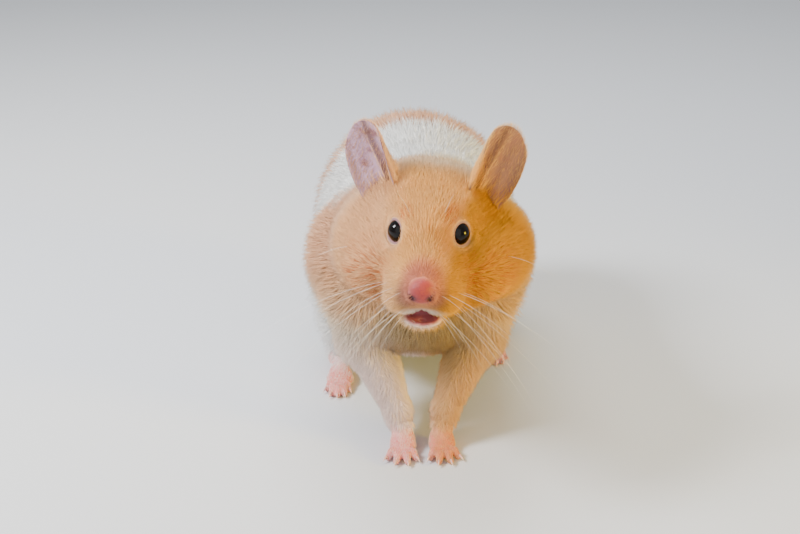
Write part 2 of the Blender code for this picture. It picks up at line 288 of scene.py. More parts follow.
def foreLeg(points, side):
    sign = sides[side]
    x, y = foreFeet["palms"][side]
    elbow = (sign * 14.6, -17, 25)
    wrist = (x * 1.15 + sign * 0.5, y + 6.5, 8.5)
    parts = {
        "upper": {"at": (sign * 15.0, -20, 37), "to": elbow, "radii": (12.0, 8.6)},
        "lower": {"at": elbow, "to": wrist, "radii": (7.6, 3.7), "blend": 4},
        "heel": {"at": wrist, "to": (x, y + 2.5, 2.9), "radii": (3.6, 3.0), "blend": 2},
        "palm": {"at": (x, y, palmHeight), "radii": foreFeet["palmRadii"], "blend": 1.5},
    }
    return withToes(massOf(parts, points), points, foreFeet, side, 0.8)


def hindLeg(points, side):
    sign = sides[side]
    x, y = hindFeet["palms"][side]
    parts = {
        "thigh": {"at": (sign * 18.5, y + 19, 25), "radii": (13.5, 20, 20), "pitch": -12},
        "shank": {"at": (sign * 21, y + 12, 12), "to": (x, y + 11, 4.6), "radii": (8, 4.2), "blend": 4},
        "heel": {"at": (x, y + 11, 3.2), "to": (x, y + 3, 2.4), "radii": (3.3, 3.1), "blend": 2},
        "palm": {"at": (x, y, palmHeight), "radii": hindFeet["palmRadii"], "blend": 1.5},
    }
    return withToes(massOf(parts, points), points, hindFeet, side, 0.8)


def bareFoot(points, feet, side):
    x, y = feet["palms"][side]
    heel, ankle = [(x * wide, y + back, height) for wide, back, height in feet["sole"]]
    parts = {
        "palm": {"at": (x, y, palmHeight), "radii": feet["palmRadii"]},
        "sole": {"at": heel, "to": ankle, "radii": feet["soleRadii"], "blend": 1.5},
    }
    return withToes(massOf(parts, points), points, feet, side, 0.6)


# How deep the coat is, from its tips down to the skin

coatDepth = {
    "nose": 0.25,
    "muzzle": 0.75,
    "brow": 1.2,
    "cheek": 2.3,
    "chest": 2.7,
    "trunk": 3.7,
    "leg": 1.1,
    "foot": 0.45,
}


def footNear(points):
    # 1 at the feet, 0 from the shanks upwards
    near = np.zeros(len(points), np.float32)
    for feet in (foreFeet, hindFeet):
        for x, y in feet["palms"].values():
            away = np.hypot((points[:, 0] - x) / 8.5, (points[:, 1] - y - feet["middle"]) / 16)
            near = np.maximum(near, (1 - smooth(away, 0.8, 1.1)) * (1 - smooth(points[:, 2], 3.2, 8)))
    return near


def legNear(points):
    near = np.zeros(len(points), np.float32)
    for side, sign in sides.items():
        x, y = foreFeet["palms"][side]
        away = limb(points, (sign * 14, -18, 26), (x, y + 4, 3), 9, 5)
        near = np.maximum(near, 1 - smooth(away, -1, 4))
    return near * (1 - smooth(points[:, 2], 16, 34))


def headShare(local):
    return 1 - smooth(local[:, 1] - 0.35 * local[:, 2], 14, 32)


def coatOver(points, local):
    depth = coatDepth
    fromNose = lengthOf(local - array((0, -20.5, -8.5)))
    overFace = between(depth["nose"], depth["muzzle"], smooth(fromNose, 2.5, 6))
    overFace += (depth["brow"] - depth["muzzle"]) * smooth(fromNose, 7, 16)
    behind = local[:, 1] + 0.5 * np.abs(local[:, 0])
    overFace += (depth["cheek"] - depth["brow"]) * smooth(behind, 4, 20)
    overBody = between(depth["chest"], depth["trunk"], smooth(points[:, 1], -18, 14))
    overBody *= 0.5 + 0.5 * smooth(points[:, 2], 8, 30)
    overBody = between(overBody, depth["leg"], legNear(points))
    coat = between(overBody, overFace, headShare(local))
    coat = between(coat, depth["foot"], footNear(points))
    return between(depth["foot"], coat, smooth(massOf(tailParts, points), 0, 5))


def pawField(points):
    # the bare feet: palms, heels and toes, which cover the inset feet of the rest
    feetAndSides = [(feet, side) for side in sides for feet in (foreFeet, hindFeet)]
    shape = np.min([bareFoot(points, feet, side) for feet, side in feetAndSides], 0)
    return np.maximum(shape + 0.1, -points[:, 2])


# Fine shapes of the face

face = {
    "nosePad": ((0, -19.5, -7.6), (2.35, 2.0, 2.3)),
    "noseWings": ((1.75, -19.9, -8.3), (1.5, 1.3, 1.3)),
    "nostrils": ((2.3, -21.2, -8.9), (0.85, 1.5, 0.55)),
    "philtrum": ((0, -21.4, -9.8), (0, -18.6, -13.7)),
    "philtrumRadii": (0.22, 0.4),
    "mouth": ((0.2, -15.9, -15.1), (3.8, 4.0, 0.9)),
    "mouthPitch": 8,
    "mouthTop": ((0, -19.6, -13.2), (0, -16.0, -14.7)),
    "mouthTopRadii": (0.55, 1.5),
    "lowerLip": ((0, -14.5, -16.3), (4.6, 4.2, 1.5)),
    "eyeHollow": ((8.4, -3.8, 0.2), (3.1, 5.4, 3.0)),
    "lidRadius": 3.65,
    "lidAhead": 1.7,
}


def faceShapes(shape, local):
    # the nose pad, the lips, the mouth and the hollow that each eye lies in
    pair = bothSides(local)
    shape = blend(shape, ellipsoid(local, *face["nosePad"]), 1.0)
    shape = blend(shape, ellipsoid(pair, *face["noseWings"]), 0.5)
    shape = blend(shape, ellipsoid(local, *face["lowerLip"]), 1.6)
    shape = carved(shape, ellipsoid(local, *face["mouth"], face["mouthPitch"]), 0.8)
    shape = carved(shape, limb(local, *face["mouthTop"], *face["mouthTopRadii"]), 0.8)
    return carved(shape, ellipsoid(pair, *face["eyeHollow"]), 1.4)


def fineShapes(shape, local):
    # the philtrum, nostrils and lids
    pair = bothSides(local)
    shape = carved(shape, limb(local, *face["philtrum"], *face["philtrumRadii"]), 0.5)
    shape = carved(shape, ellipsoid(pair, *face["nostrils"], 0, -25, 25), 0.35)
    # the lids are a shell round the ball that ends at a plane across its look
    fromEye = pair - array(head["eyeAt"])
    ahead = fromEye @ array(eyeLook) - face["lidAhead"]
    lids = common(lengthOf(fromEye) - face["lidRadius"], ahead, 0.5)
    return blend(shape, lids, 0.8)


def fleshField(points):
    # the skin with no fine shapes on it
    local = intoFrame(points, head["at"], head["turn"])
    shape = massOf(trunkParts, points)
    for side in sides:
        shape = blend(shape, hindLeg(points, side), 3)
        shape = blend(shape, foreLeg(points, side), 3)
    shape = blend(shape, massOf(headParts, local), 7)
    shape = shape + coatOver(points, local)
    shape = blend(shape, massOf(tailParts, points), 3)
    return np.maximum(faceShapes(shape, local), -points[:, 2])


def skinField(points):
    local = intoFrame(points, head["at"], head["turn"])
    return fineShapes(fleshField(points), local)


# Meshing: one vertex in each grid cell that a surface crosses, then moved onto the surface

meshing = {
    "box": ((-40, -76, -3), (40, 86, 84)),
    "foreFeetBox": ((-15, -47, -1), (15, -25, 10)),
    "hindFootBox": ((-9, -11, -1), (9, 15, 10)),
    "step": 1.1,
    "even": 0.95,
    "pawStep": 0.43,
    "settleRounds": 3,
    "slopeStep": 0.05,
    "leastSlope": 0.1,
    "chunk": 200000,
    "farthest": 0.5,
    "pawFarthest": 0.2,
    "fine": {"rounds": 3, "relaxed": 0.4, "farthest": 0.4, "behind": 4, "across": 13},
    "finest": {"eye": 2.0, "nearEye": 4.6, "mouth": (0, -18.5, -12.0), "nearMouth": 7.6},
}


def meshOf(field, low, high, step):
    axes = [np.arange(a, b + step, step, dtype=np.float32) for a, b in zip(low, high)]
    grid = np.stack(np.meshgrid(*axes, indexing="ij"), -1).reshape(-1, 3)
    chunks = np.array_split(grid, 1 + len(grid) // meshing["chunk"])
    value = np.concatenate([field(chunk) for chunk in chunks])
    value = value.reshape([len(axis) for axis in axes])
    inside = value < 0
    corners = [np.array((i, j, k)) for i in (0, 1) for j in (0, 1) for k in (0, 1)]
    across, deep, tall = [len(axis) - 1 for axis in axes]
    count = np.zeros((across, deep, tall), np.int8)
    for i, j, k in corners:
        count += inside[i:i + across, j:j + deep, k:k + tall]
    cells = np.argwhere((count > 0) & (count < len(corners)))
    number = np.full(count.shape, -1, np.int64)
    number[tuple(cells.T)] = np.arange(len(cells))
    total = np.zeros((len(cells), 3))
    crossings = np.zeros(len(cells))
    for corner in corners:
        for axis in range(3):
            if corner[axis]:
                continue
            near = cells + corner
            far = near.copy()
            far[:, axis] += 1
            nearValue = value[tuple(near.T)]
            farValue = value[tuple(far.T)]
            crossed = (nearValue < 0) != (farValue < 0)
            share = nearValue / np.where(crossed, nearValue - farValue, 1)
            nearAt = np.stack([axes[c][near[:, c]] for c in range(3)], 1)
            farAt = np.stack([axes[c][far[:, c]] for c in range(3)], 1)
            total += between(nearAt, farAt, share[:, None]) * crossed[:, None]
            crossings += crossed
    return total / crossings[:, None], facesBetween(inside, number)


def facesBetween(inside, number):
    # one four-sided face round each grid edge that the surface crosses, facing outwards
    faces = []
    for axis in range(3):
        others = [c for c in range(3) if c != axis]
        here = [slice(1, -1)] * 3
        beyond = [slice(1, -1)] * 3
        here[axis] = slice(0, -1)
        beyond[axis] = slice(1, None)
        filled = inside[tuple(here)]
        nextFilled = inside[tuple(beyond)]
        edges = np.argwhere(filled != nextFilled)
        outward = filled[tuple(edges.T)] != (axis == 1)
        edges[:, others] += 1
        loop = []
        for backFirst, backSecond in ((0, 0), (1, 0), (1, 1), (0, 1)):
            cell = edges.copy()
            cell[:, others[0]] -= backFirst
            cell[:, others[1]] -= backSecond
            loop.append(number[tuple(cell.T)])
        loop = np.stack(loop, 1)
        loop[~outward] = loop[~outward][:, ::-1]
        faces.append(loop)
    return np.concatenate(faces)


def slopeAt(field, points):
    slope = np.zeros_like(points)
    for axis in range(3):
        offset = np.zeros(3, np.float32)
        offset[axis] = meshing["slopeStep"]
        rise = field(points + offset) - field(points - offset)
        slope[:, axis] = rise / (2 * meshing["slopeStep"])
    return slope


def settled(field, points, farthest):
    for _ in range(meshing["settleRounds"]):
        slope = slopeAt(field, points)
        steepness = np.maximum((slope * slope).sum(1), meshing["leastSlope"])
        move = field(points)[:, None] * slope / steepness[:, None]
        distance = np.maximum(lengthOf(move)[:, None], tiny)
        points = points - move * np.minimum(1, farthest / distance)
    return points


def coordinates(mesh):
    flat = np.empty(len(mesh.vertices) * 3, np.float32)
    mesh.vertices.foreach_get("co", flat)
    return flat.reshape(-1, 3)


def moveTo(mesh, points):
    mesh.vertices.foreach_set("co", np.asarray(points, np.float32).ravel())
    mesh.update()


def applied(subject):
    graph = bpy.context.evaluated_depsgraph_get()
    mesh = bpy.data.meshes.new_from_object(subject.evaluated_get(graph))
    subject.modifiers.clear()
    subject.data = mesh
    return subject


def relaxed(mesh, points, share):
    # each vertex goes part of the way to the middle of its neighbours
    ends = np.empty(len(mesh.edges) * 2, np.int64)
    mesh.edges.foreach_get("vertices", ends)
    first, second = ends.reshape(-1, 2).T
    total = np.zeros_like(points)
    count = np.zeros(len(points), np.float32)
    for here, there in ((first, second), (second, first)):
        np.add.at(total, here, points[there])
        np.add.at(count, here, 1)
    return points + share * (total / np.maximum(count, 1)[:, None] - points)


def refine(subject, wanted):
    # split the edges whose ends are both in the wanted places, and settle those places again
    marks = wanted(coordinates(subject.data))
    bm = bmesh.new()
    bm.from_mesh(subject.data)
    edges = [edge for edge in bm.edges if all(marks[vertex.index] for vertex in edge.verts)]
    bmesh.ops.subdivide_edges(bm, edges=edges, cuts=1, use_grid_fill=True)
    bm.to_mesh(subject.data)
    bm.free()
    points = coordinates(subject.data)
    marks = wanted(points)
    fine = meshing["fine"]
    for _ in range(fine["rounds"]):
        points[marks] = relaxed(subject.data, points, fine["relaxed"])[marks]
        points[marks] = settled(skinField, points[marks], fine["farthest"])
    moveTo(subject.data, points)


def wantsFine(points):
    local = intoFrame(points, head["at"], head["turn"])
    fine = meshing["fine"]
    return (local[:, 1] < fine["behind"]) & (np.abs(local[:, 0]) < fine["across"])


def wantsFinest(points):
    local = intoFrame(points, head["at"], head["turn"])
    finest = meshing["finest"]
    lid = Vector(head["eyeAt"]) + eyeLook * finest["eye"]
    byEye = lengthOf(bothSides(local) - array(lid)) < finest["nearEye"]
    byMouth = lengthOf(local - array(finest["mouth"])) < finest["nearMouth"]
    return byEye | byMouth


ear = {
    "at": (10.0, 12.0, 3.9),
    "turn": turned(-6.5, 24, 36, "ZYX"),
    "length": 20.4,
    "halfWidth": 5.9,
    "sweep": 1.2,
    "bow": 1.6,
    "fold": 1.6,
    "crease": 0.7,
    "innerRoll": 2.0,
    "outerRoll": 0.8,
    "roundFrom": 0.66,
    "rollFrom": 0.7,
    "thickness": 0.9,
    "rimThickness": 0.5,
    "columns": 26,
    "rows": 34,
    "sunk": 0.165,
}


def earHalfWidth(up):
    return ear["halfWidth"] * (0.9 + 0.5 * up - 0.4 * up * up)


def earPoint(side, across, up, facing):
    # across from -1 to 1, up from 0 to 1, facing -1 in front and 1 behind
    wide = max(up, 0)
    intoTip = max(0, (wide - ear["roundFrom"]) / (1 - ear["roundFrom"]))
    halfWidth = earHalfWidth(wide) * math.sqrt(1 - 0.99 * intoTip ** 2.2)
    arch = math.sin(math.pi * wide)
    x = across * halfWidth + ear["sweep"] * arch
    middle = ear["bow"] * arch - (0.085 - 0.055 * wide) * x * x
    # a long fold near the inner edge, a shallower crease beside it, and a rolled rim
    fold = math.exp(-((across + 0.45 - 0.3 * up) / 0.16) ** 2) * max(0, 1 - up * 1.05) ** 0.5
    crease = math.exp(-((across - 0.15 - 0.2 * up) / 0.2) ** 2) * math.sin(math.pi * min(1, wide * 1.2))
    curl = max(0, abs(across) - ear["rollFrom"]) / (1 - ear["rollFrom"])
    rolled = ear["innerRoll"] if across < 0 else ear["outerRoll"]
    middle += ear["crease"] * crease - ear["fold"] * fold
    middle -= rolled * curl ** 2 * math.sin(math.pi * min(1, wide + 0.1))
    edge = max(abs(across), 2 * up - 1) ** 4
    thickness = between(ear["thickness"], ear["rimThickness"], edge)
    turn = ear["turn"].to_matrix()
    local = turn @ Vector((x, middle + facing * thickness / 2, up * ear["length"])) + Vector(ear["at"])
    return fromHead((sides[side] * local.x, local.y, local.z))


def makeEar(side):
    bm = bmesh.new()
    columns = [2 * c / ear["columns"] - 1 for c in range(ear["columns"] + 1)]
    shares = [math.sin(math.pi / 2 * r / ear["rows"]) for r in range(ear["rows"] + 1)]
    rows = [(1 + ear["sunk"]) * share - ear["sunk"] for share in shares]
    front, back = [
        [[bm.verts.new(earPoint(side, across, up, facing)) for up in rows] for across in columns]
        for facing in (-1, 1)
    ]
    for grid in (front, back):
        for c in range(ear["columns"]):
            for r in range(ear["rows"]):
                bm.faces.new((grid[c][r], grid[c + 1][r], grid[c + 1][r + 1], grid[c][r + 1]))
    for c in range(ear["columns"]):
        for r in (0, ear["rows"]):
            bm.faces.new((front[c][r], front[c + 1][r], back[c + 1][r], back[c][r]))
    for r in range(ear["rows"]):
        for c in (0, ear["columns"]):
            bm.faces.new((front[c][r], front[c][r + 1], back[c][r + 1], back[c][r]))
    bmesh.ops.recalc_face_normals(bm, faces=bm.faces)
    return addObject("ear", meshFrom(bm, "ear"))


def makePaws():
    # the fore feet together and each hind foot, in fine grids of their own
    boxes = [meshing["foreFeetBox"]]
    for x, y in hindFeet["palms"].values():
        boxes.append([(x + corner[0], y + corner[1], corner[2]) for corner in meshing["hindFootBox"]])
    bm = bmesh.new()
    for low, high in boxes:
        points, faces = meshOf(pawField, low, high, meshing["pawStep"])
        mesh = newMesh("paw", points.tolist(), faces.tolist())
        bm.from_mesh(mesh)
        bpy.data.meshes.remove(mesh)
    mesh = meshFrom(bm, "paws")
    moveTo(mesh, settled(pawField, coordinates(mesh), meshing["pawFarthest"]))
    return addObject("paws", mesh)


def makeSkin():
    points, faces = meshOf(fleshField, *meshing["box"], meshing["step"])
    made = addObject("skin", newMesh("skin", points.tolist(), faces.tolist()))
    even = made.modifiers.new("even", "REMESH")
    even.mode = "VOXEL"
    even.voxel_size = meshing["even"]
    applied(made)
    moveTo(made.data, settled(fleshField, coordinates(made.data), meshing["farthest"]))
    for wanted in (wantsFine, wantsFinest):
        refine(made, wanted)
    for added in (makeEar("left"), makeEar("right"), makePaws()):
        union = made.modifiers.new("union", "BOOLEAN")
        union.operation = "UNION"
        union.solver = "EXACT"
        union.object = added
        applied(made)
        bpy.data.objects.remove(added)
    made.data.shade_smooth()
    return made


skin = makeSkin()
print("skin made:", len(skin.data.vertices), "vertices")

# What the skin's places are called: bare skin, ears, feet, and how the fur lies on the rest

skinPoints = coordinates(skin.data)
skinLocal = intoFrame(skinPoints, head["at"], head["turn"])
skinPair = bothSides(skinLocal)
skinNormals = np.empty(len(skinPoints) * 3, np.float32)
skin.data.vertex_normals.foreach_get("vector", skinNormals)
skinNormals = skinNormals.reshape(-1, 3)


def nearTo(points, centre, start, end):
    return 1 - smooth(lengthOf(points - array(centre)), start, end)


# how far from its shape each place starts to fade, and where it ends
fades = {
    "ear": (0.1, 0.5),
    "tail": (0.3, 2.5),
    "nose": (0.3, 1.0),
    "lid": (3.0, 3.45),
    "mouth": (0.1, 0.4),
    "lip": (0.3, 0.9),
    "cleft": (0.1, 0.5),
    "insideLips": (0.35, 0.75),
    "nearEye": (3.0, 7.5),
}
earsAbove = 50
pawReach = 0.4
pawTop = 4

earness = smooth(skinField(skinPoints), *fades["ear"]) * (skinPoints[:, 2] > earsAbove)
onPaw = (pawField(skinPoints) < pawReach) & (skinPoints[:, 2] < pawTop)
footness = np.maximum(footNear(skinPoints), onPaw)
tailness = 1 - smooth(massOf(tailParts, skinPoints), *fades["tail"])
tailness = tailness * smooth(skinPoints[:, 1], 71, 74)
noseness = 1 - smooth(ellipsoid(skinLocal, *face["nosePad"]), *fades["nose"])
eyeAt = Vector(head["eyeAt"])
lidness = nearTo(skinPair, eyeAt + eyeLook * 1.2, *fades["lid"])
inMouth = np.minimum(
    ellipsoid(skinLocal, *face["mouth"], face["mouthPitch"]),
    limb(skinLocal, *face["mouthTop"], *face["mouthTopRadii"]))
mouthness = 1 - smooth(inMouth, *fades["mouth"])
lipness = 1 - smooth(inMouth, *fades["lip"])
insideLips = 1 - smooth(inMouth, *fades["insideLips"])
cleft = limb(skinLocal, *face["philtrum"], *face["philtrumRadii"])
cleft = 1 - smooth(cleft, *fades["cleft"])

# each ear's own coordinates: across and up as it is made, and whether a place is on its inner side
earLocal = intoFrame(skinPair, ear["at"], ear["turn"])
earUp = (earLocal[:, 2] / ear["length"]).clip(0, 1)
earAcross = (earLocal[:, 0] - ear["sweep"] * np.sin(np.pi * earUp)) / earHalfWidth(earUp)
# painted shade: a dark fold near each ear's inner edge and a dark spot by its base where the canal opens
earFoldShade = np.exp(-((earAcross + 0.5 - 0.3 * earUp) / 0.2) ** 2) * earness
earCanalShade = np.exp(-((earAcross - 0.35) / 0.3) ** 2 - ((earUp - 0.16) / 0.09) ** 2) * earness
mirroredNormals = skinNormals @ array(headTurn)
mirroredNormals[:, 0] *= np.sign(skinLocal[:, 0])
facesIn = mirroredNormals @ array(ear["turn"].to_matrix() @ Vector((0, -1, 0)))
innerEar = smooth(facesIn, 0.1, 0.6) * (1 - smooth(np.abs(earAcross), 0.8, 0.97)) * earness


def addAttribute(mesh, name, values):
    # a number, or three of them, for each vertex
    values = array(values)
    kind, part = ("FLOAT", "value") if values.ndim == 1 else ("FLOAT_VECTOR", "vector")
    mesh.attributes.new(name, kind, "POINT").data.foreach_set(part, values.ravel())


for name, values in (
    ("ear", earness), ("foot", footness), ("tail", tailness),
    ("nose", noseness), ("lid", lidness), ("lip", lipness), ("mouth", mouthness),
    ("earFoldShade", earFoldShade * innerEar), ("earCanalShade", earCanalShade * innerEar),
):
    addAttribute(skin.data, name, values)

hair = {"perDepth": 1.95, "leastDepth": 0.3, "extra": 0.5, "lessByEye": 0.72}
hairWidths = {"least": 0.070, "perLength": 0.014}
bareness = np.max([earness, footness, tailness, noseness, lidness, insideLips, cleft], 0)
nearEye = nearTo(skinPair, eyeAt + eyeLook * 2, *fades["nearEye"])
hairLength = np.maximum(coatOver(skinPoints, skinLocal), hair["leastDepth"])
hairLength = hairLength * hair["perDepth"] + hair["extra"]
hairLength *= 1 - hair["lessByEye"] * nearEye
hairWidth = hairWidths["least"] + hairWidths["perLength"] * hairLength


def lieOfFur():
    # away from the nose over the head, then back along the body and down its sides and legs
    away = skinLocal - array((0, -19.5, -6.5))
    away /= np.maximum(lengthOf(away)[:, None], shortest)
    away += array((0, 0.25, 0))
    for sign in sides.values():
        fromEye = skinLocal - array((sign * 7.2, -1.6, 0.1))
        distance = np.maximum(lengthOf(fromEye)[:, None], shortest)
        away += 2.6 * (1 - smooth(distance, 2.4, 5.5)) * fromEye / distance
    overHead = away @ array(headTurn).T
    leg = legNear(skinPoints)[:, None]
    alongBody = array((0, 1, -0.55)) * (1 - leg) + array((0, 0.25, -1)) * leg
    share = (headShare(skinLocal) * (1 - 0.8 * smooth(-skinLocal[:, 2], 13, 20)))[:, None]
    lie = alongBody * (1 - share) + overHead * share
    towardsTip = headTurn @ ear["turn"].to_matrix() @ Vector((0, 0, 1))
    lie += (array(towardsTip) - lie) * earness[:, None]
    lie += (array((0, -1, -0.3)) - lie) * footness[:, None]
    lie -= (lie * skinNormals).sum(1)[:, None] * skinNormals
    return lie / np.maximum(lengthOf(lie)[:, None], shortest)


skinLie = lieOfFur()
moveTo(skin.data, (skinPoints + array(frameShift)) * millimetre)


# Node trees

class Socket:
    # a node's output, with arithmetic that adds Math nodes
    def __init__(self, tree, output):
        self.tree = tree
        self.output = output

    def math(self, operation, first, second=0.0):
        return self.tree.add("ShaderNodeMath", {"operation": operation}, {0: first, 1: second})


def operator(operation, swapped):
    def apply(self, other):
        return self.math(operation, *((other, self) if swapped else (self, other)))
    return apply


for name, operation in (("add", "ADD"), ("sub", "SUBTRACT"), ("mul", "MULTIPLY")):
    setattr(Socket, "__" + name + "__", operator(operation, False))
    setattr(Socket, "__r" + name + "__", operator(operation, True))


class Tree:
    def __init__(self, tree):
        self.tree = tree

    def add(self, kind, settings=None, values=None, output=0):
        made = self.tree.nodes.new(kind)
        for name, value in (settings or {}).items():
            setattr(made, name, value)
        inputs = [socket for socket in made.inputs if socket.enabled]
        for key, value in (values or {}).items():
            socket = inputs[key] if isinstance(key, int) else next(s for s in inputs if s.name == key)
            if isinstance(value, Socket):
                self.tree.links.new(value.output, socket)
            else:
                socket.default_value = value
        outputs = [socket for socket in made.outputs if socket.enabled]
        return Socket(self, outputs[output])

    def vector(self, operation, *values):
        keys = {"SCALE": (0, "Scale")}.get(operation, (0, 1))
        return self.add("ShaderNodeVectorMath", {"operation": operation}, dict(zip(keys, values)))

    def length(self, value):
        return self.vector("LENGTH", value)

    def mixed(self, share, first, second):
        values = {"Factor": share, "A": first, "B": second}
        return self.add("ShaderNodeMix", {"data_type": "RGBA"}, values)

    def stretched(self, value, low, high, toLow=0.0, toHigh=1.0):
        settings = {"interpolation_type": "SMOOTHSTEP"}
        values = {"Value": value, "From Min": low, "From Max": high, "To Min": toLow, "To Max": toHigh}
        return self.add("ShaderNodeMapRange", settings, values)

    def attribute(self, name, output="Fac"):
        made = self.tree.nodes.new("ShaderNodeAttribute")
        made.attribute_name = name
        return Socket(self, made.outputs[output])


def colour(red, green, blue):
    # a colour as a paint chart gives it, from 0 to 255, made linear
    return (*[((part / 255 + 0.055) / 1.055) ** 2.4 for part in (red, green, blue)], 1)


def newMaterial(name, fixed):
    material = bpy.data.materials.new(name)
    material.use_nodes = True
    surface = material.node_tree.nodes["Principled BSDF"]
    for socket, value in fixed.items():
        surface.inputs[socket].default_value = value
    return material, Tree(material.node_tree), surface


def feed(tree, surface, socket, value):
    tree.tree.links.new(value.output, surface.inputs[socket])


def addBump(tree, surface, height, strength, distance):
    values = {"Height": height, "Strength": strength, "Distance": distance}
    feed(tree, surface, "Normal", tree.add("ShaderNodeBump", {}, values))


# The coat's markings, with painted warm light and painted shade among them, which skin and tufts share

coatColours = {
    "golden": colour(238, 176, 90),
    "yellowWithWarmLight": colour(216, 154, 0),
    "peach": colour(236, 186, 146),
    "cream": colour(240, 218, 186),
    "white": colour(250, 247, 242),
    "pink": colour(214, 128, 106),
    "rust": colour(190, 92, 30),
    "mauve": colour(150, 92, 98),
    "strawWarmLight": colour(236, 190, 112),
    "shell": colour(255, 232, 226),
    "amberWarmLight": colour(238, 188, 126),
    "throat": colour(166, 138, 84),
    "wheatShade": colour(212, 166, 108),
}

# Spots of paint: middle, reach, softness, share and colour. Those off the middle come in pairs.
pairedFrom = 2
chestSpots = (
    # painted shade over the chest, and deeper painted shade in its middle below the chin
    ((0, -29, 39), (34, 16, 9), 0.5, 0.45, "wheatShade"),
    ((1, -27, 29), (11, 14, 11), 0.6, 0.8, "throat"),
)
faceSpots = {
    "under": (
        ((0, -15, -11), (11, 9, 7), 0.3, 0.2, "cream"),
        # painted shade below the chin
        ((0, -6, -23), (12, 12, 8), 0.5, 0.85, "throat"),
    ),
    "over": (
        ((7.4, -2.6, 0), (3.6, 4.4, 4.0), 0.3, 0.12, "white"),
        # painted shade beside the nostrils
        ((3.6, -19, -9.4), (2.4, 4, 2.8), 0.6, 0.6, "mauve"),
        ((0, -19, -6.0), (4.8, 6.5, 5.4), 0.45, 0.85, "pink"),
        ((0, -17.6, -13.6), (4.6, 4, 1.2), 0.6, 0.6, "white"),
        ((0, -17.4, -16.2), (4.6, 4, 1.2), 0.6, 0.6, "white"),
    ),
}

# Where reddish hairs stand in the head's frame, how far they reach and their share
redSpots = (
    ((14.5, -3, -10), (8, 10, 7.5), 0.9),
    ((5.6, -4, 5.6), (2.8, 4, 2.4), 1.0),
    ((3.6, -5, -0.4), (2.2, 4, 1.8), 1.0),
)


class Markings:
    def __init__(self, tree):
        self.tree = tree
        place = tree.add("ShaderNodeTexCoord", {}, {}, 3)
        self.body = self.placed(place, inFrame((0, 0, 0)), (0, 0, 0), (millimetre,) * 3)
        self.head = self.placed(place, inFrame(head["at"]), head["turn"], (millimetre,) * 3)

    def placed(self, vector, at, turn, size):
        values = {"Vector": vector, "Location": at, "Rotation": turn, "Scale": size}
        return self.tree.add("ShaderNodeMapping", {"vector_type": "TEXTURE"}, values)

    def spot(self, on, at, size, soft):
        # 1 inside a rounded spot, 0 outside, with a soft edge
        inside = self.tree.length(self.placed(on, at, (0, 0, 0), size))
        return self.tree.stretched(inside, 1 + soft, 1 - soft)

    def noise(self, on, scale, detail=2):
        return self.tree.add("ShaderNodeTexNoise", {}, {"Vector": on, "Scale": scale, "Detail": detail})

    def part(self, on, axis):
        return self.tree.add("ShaderNodeSeparateXYZ", {}, {0: on}, axis)

    def painted(self, tint, on, spots):
        for at, reach, soft, most, name in spots:
            for sign in sides.values() if at[0] > pairedFrom else (1,):
                spot = self.spot(on, (sign * at[0], at[1], at[2]), reach, soft)
                tint = self.tree.mixed(spot * most, tint, coatColours[name])
        return tint

    def coat(self):
        tree = self.tree
        paint = coatColours
        blur = self.noise(self.body, 0.16) - 0.5
        y = self.part(self.body, 1) + 9 * blur
        z = self.part(self.body, 2) + 8 * blur
        onHead = self.spot(self.head, (0, 2, -4), (30, 27, 26), 0.16)
        # rump and shoulders peach, a white band between them, white below
        tint = tree.mixed(tree.stretched(y, 34, 42), paint["white"], paint["peach"])
        behindShoulder = tree.stretched(y + 14 * tree.stretched(z, 48, 62), -2, 8)
        tint = tree.mixed(behindShoulder, paint["peach"], tint)
        front = tree.stretched(self.part(self.body, 1), 4, -10)
        below = tree.stretched(z - 10 * front, 36, 18)
        tint = tree.mixed(below, tint, tree.mixed(front * 0.8, paint["white"], paint["cream"]))
        # painted warm light: the front of the left side straw-coloured
        lit = tree.stretched(self.part(self.body, 0) + 8 * blur, -6, 10) * front
        tint = tree.mixed(lit * 0.75, tint, paint["strawWarmLight"])
        # the front legs pale pink low down, with painted warm light in amber on the left one
        low = tree.stretched(self.part(self.body, 2), 34, 14) * front
        warm = tree.stretched(self.part(self.body, 0), -2, 4)
        tint = tree.mixed(low * 0.75, tint, tree.mixed(warm, paint["shell"], paint["amberWarmLight"]))
        # painted shade: the chest darker and wheat-coloured, darkest in its middle below the chin
        tint = self.painted(tint, self.body, chestSpots)
        # the head golden, yellower on its left cheek, partly its own gold and partly painted warm light,
        # paler on its crown, right cheek and chin, with painted shade below the chin
        across = self.part(self.head, 0) + 2.5 * blur
        high = self.part(self.head, 2) + 4 * blur
        faceTint = tree.mixed(0.12, paint["golden"], paint["peach"])
        crown = tree.stretched(self.part(self.head, 1), 10, 22)
        faceTint = tree.mixed(crown * 0.8, faceTint, paint["cream"])
        faceTint = tree.mixed(tree.stretched(across, -4, -13) * 0.6, faceTint, paint["peach"])
        faceTint = self.painted(faceTint, self.head, faceSpots["under"])
        # the left side of the face painted yellow: partly its own gold, partly painted warm light
        edge = across - 0.3 * high
        left = tree.stretched(edge, 5, 8.5) * tree.stretched(self.part(self.head, 2), 12, 5)
        faceTint = tree.mixed(left * 0.95, faceTint, paint["yellowWithWarmLight"])
        faceTint = self.painted(faceTint, self.head, faceSpots["over"])
        return tree.mixed(onHead, tint, faceTint)

    def streaks(self):
        # the share of reddish hairs: on the cheeks, on the brows and beside the eyes
        share = 0.0
        for (x, y, z), size, most in redSpots:
            for sign in sides.values():
                share = self.spot(self.head, (sign * x, y, z), size, 0.5) * most + share
        return share


def coatMaterial():
    material, tree, surface = newMaterial("coat_fur", {"Roughness": 0.75, "Specular IOR Level": 0.2})
    markings = Markings(tree)
    tone = tree.attribute("tone")
    along = tree.attribute("along")
    red = tree.stretched(tone, 0.76, 0.84) * markings.streaks()
    tint = tree.mixed(red, markings.coat(), coatColours["rust"])
    shade = tree.stretched(along, 0, 0.8, 0.92, 1.02) * (0.92 + 0.14 * tone)
    feed(tree, surface, "Base Color", tree.vector("SCALE", tint, shade))
    return material


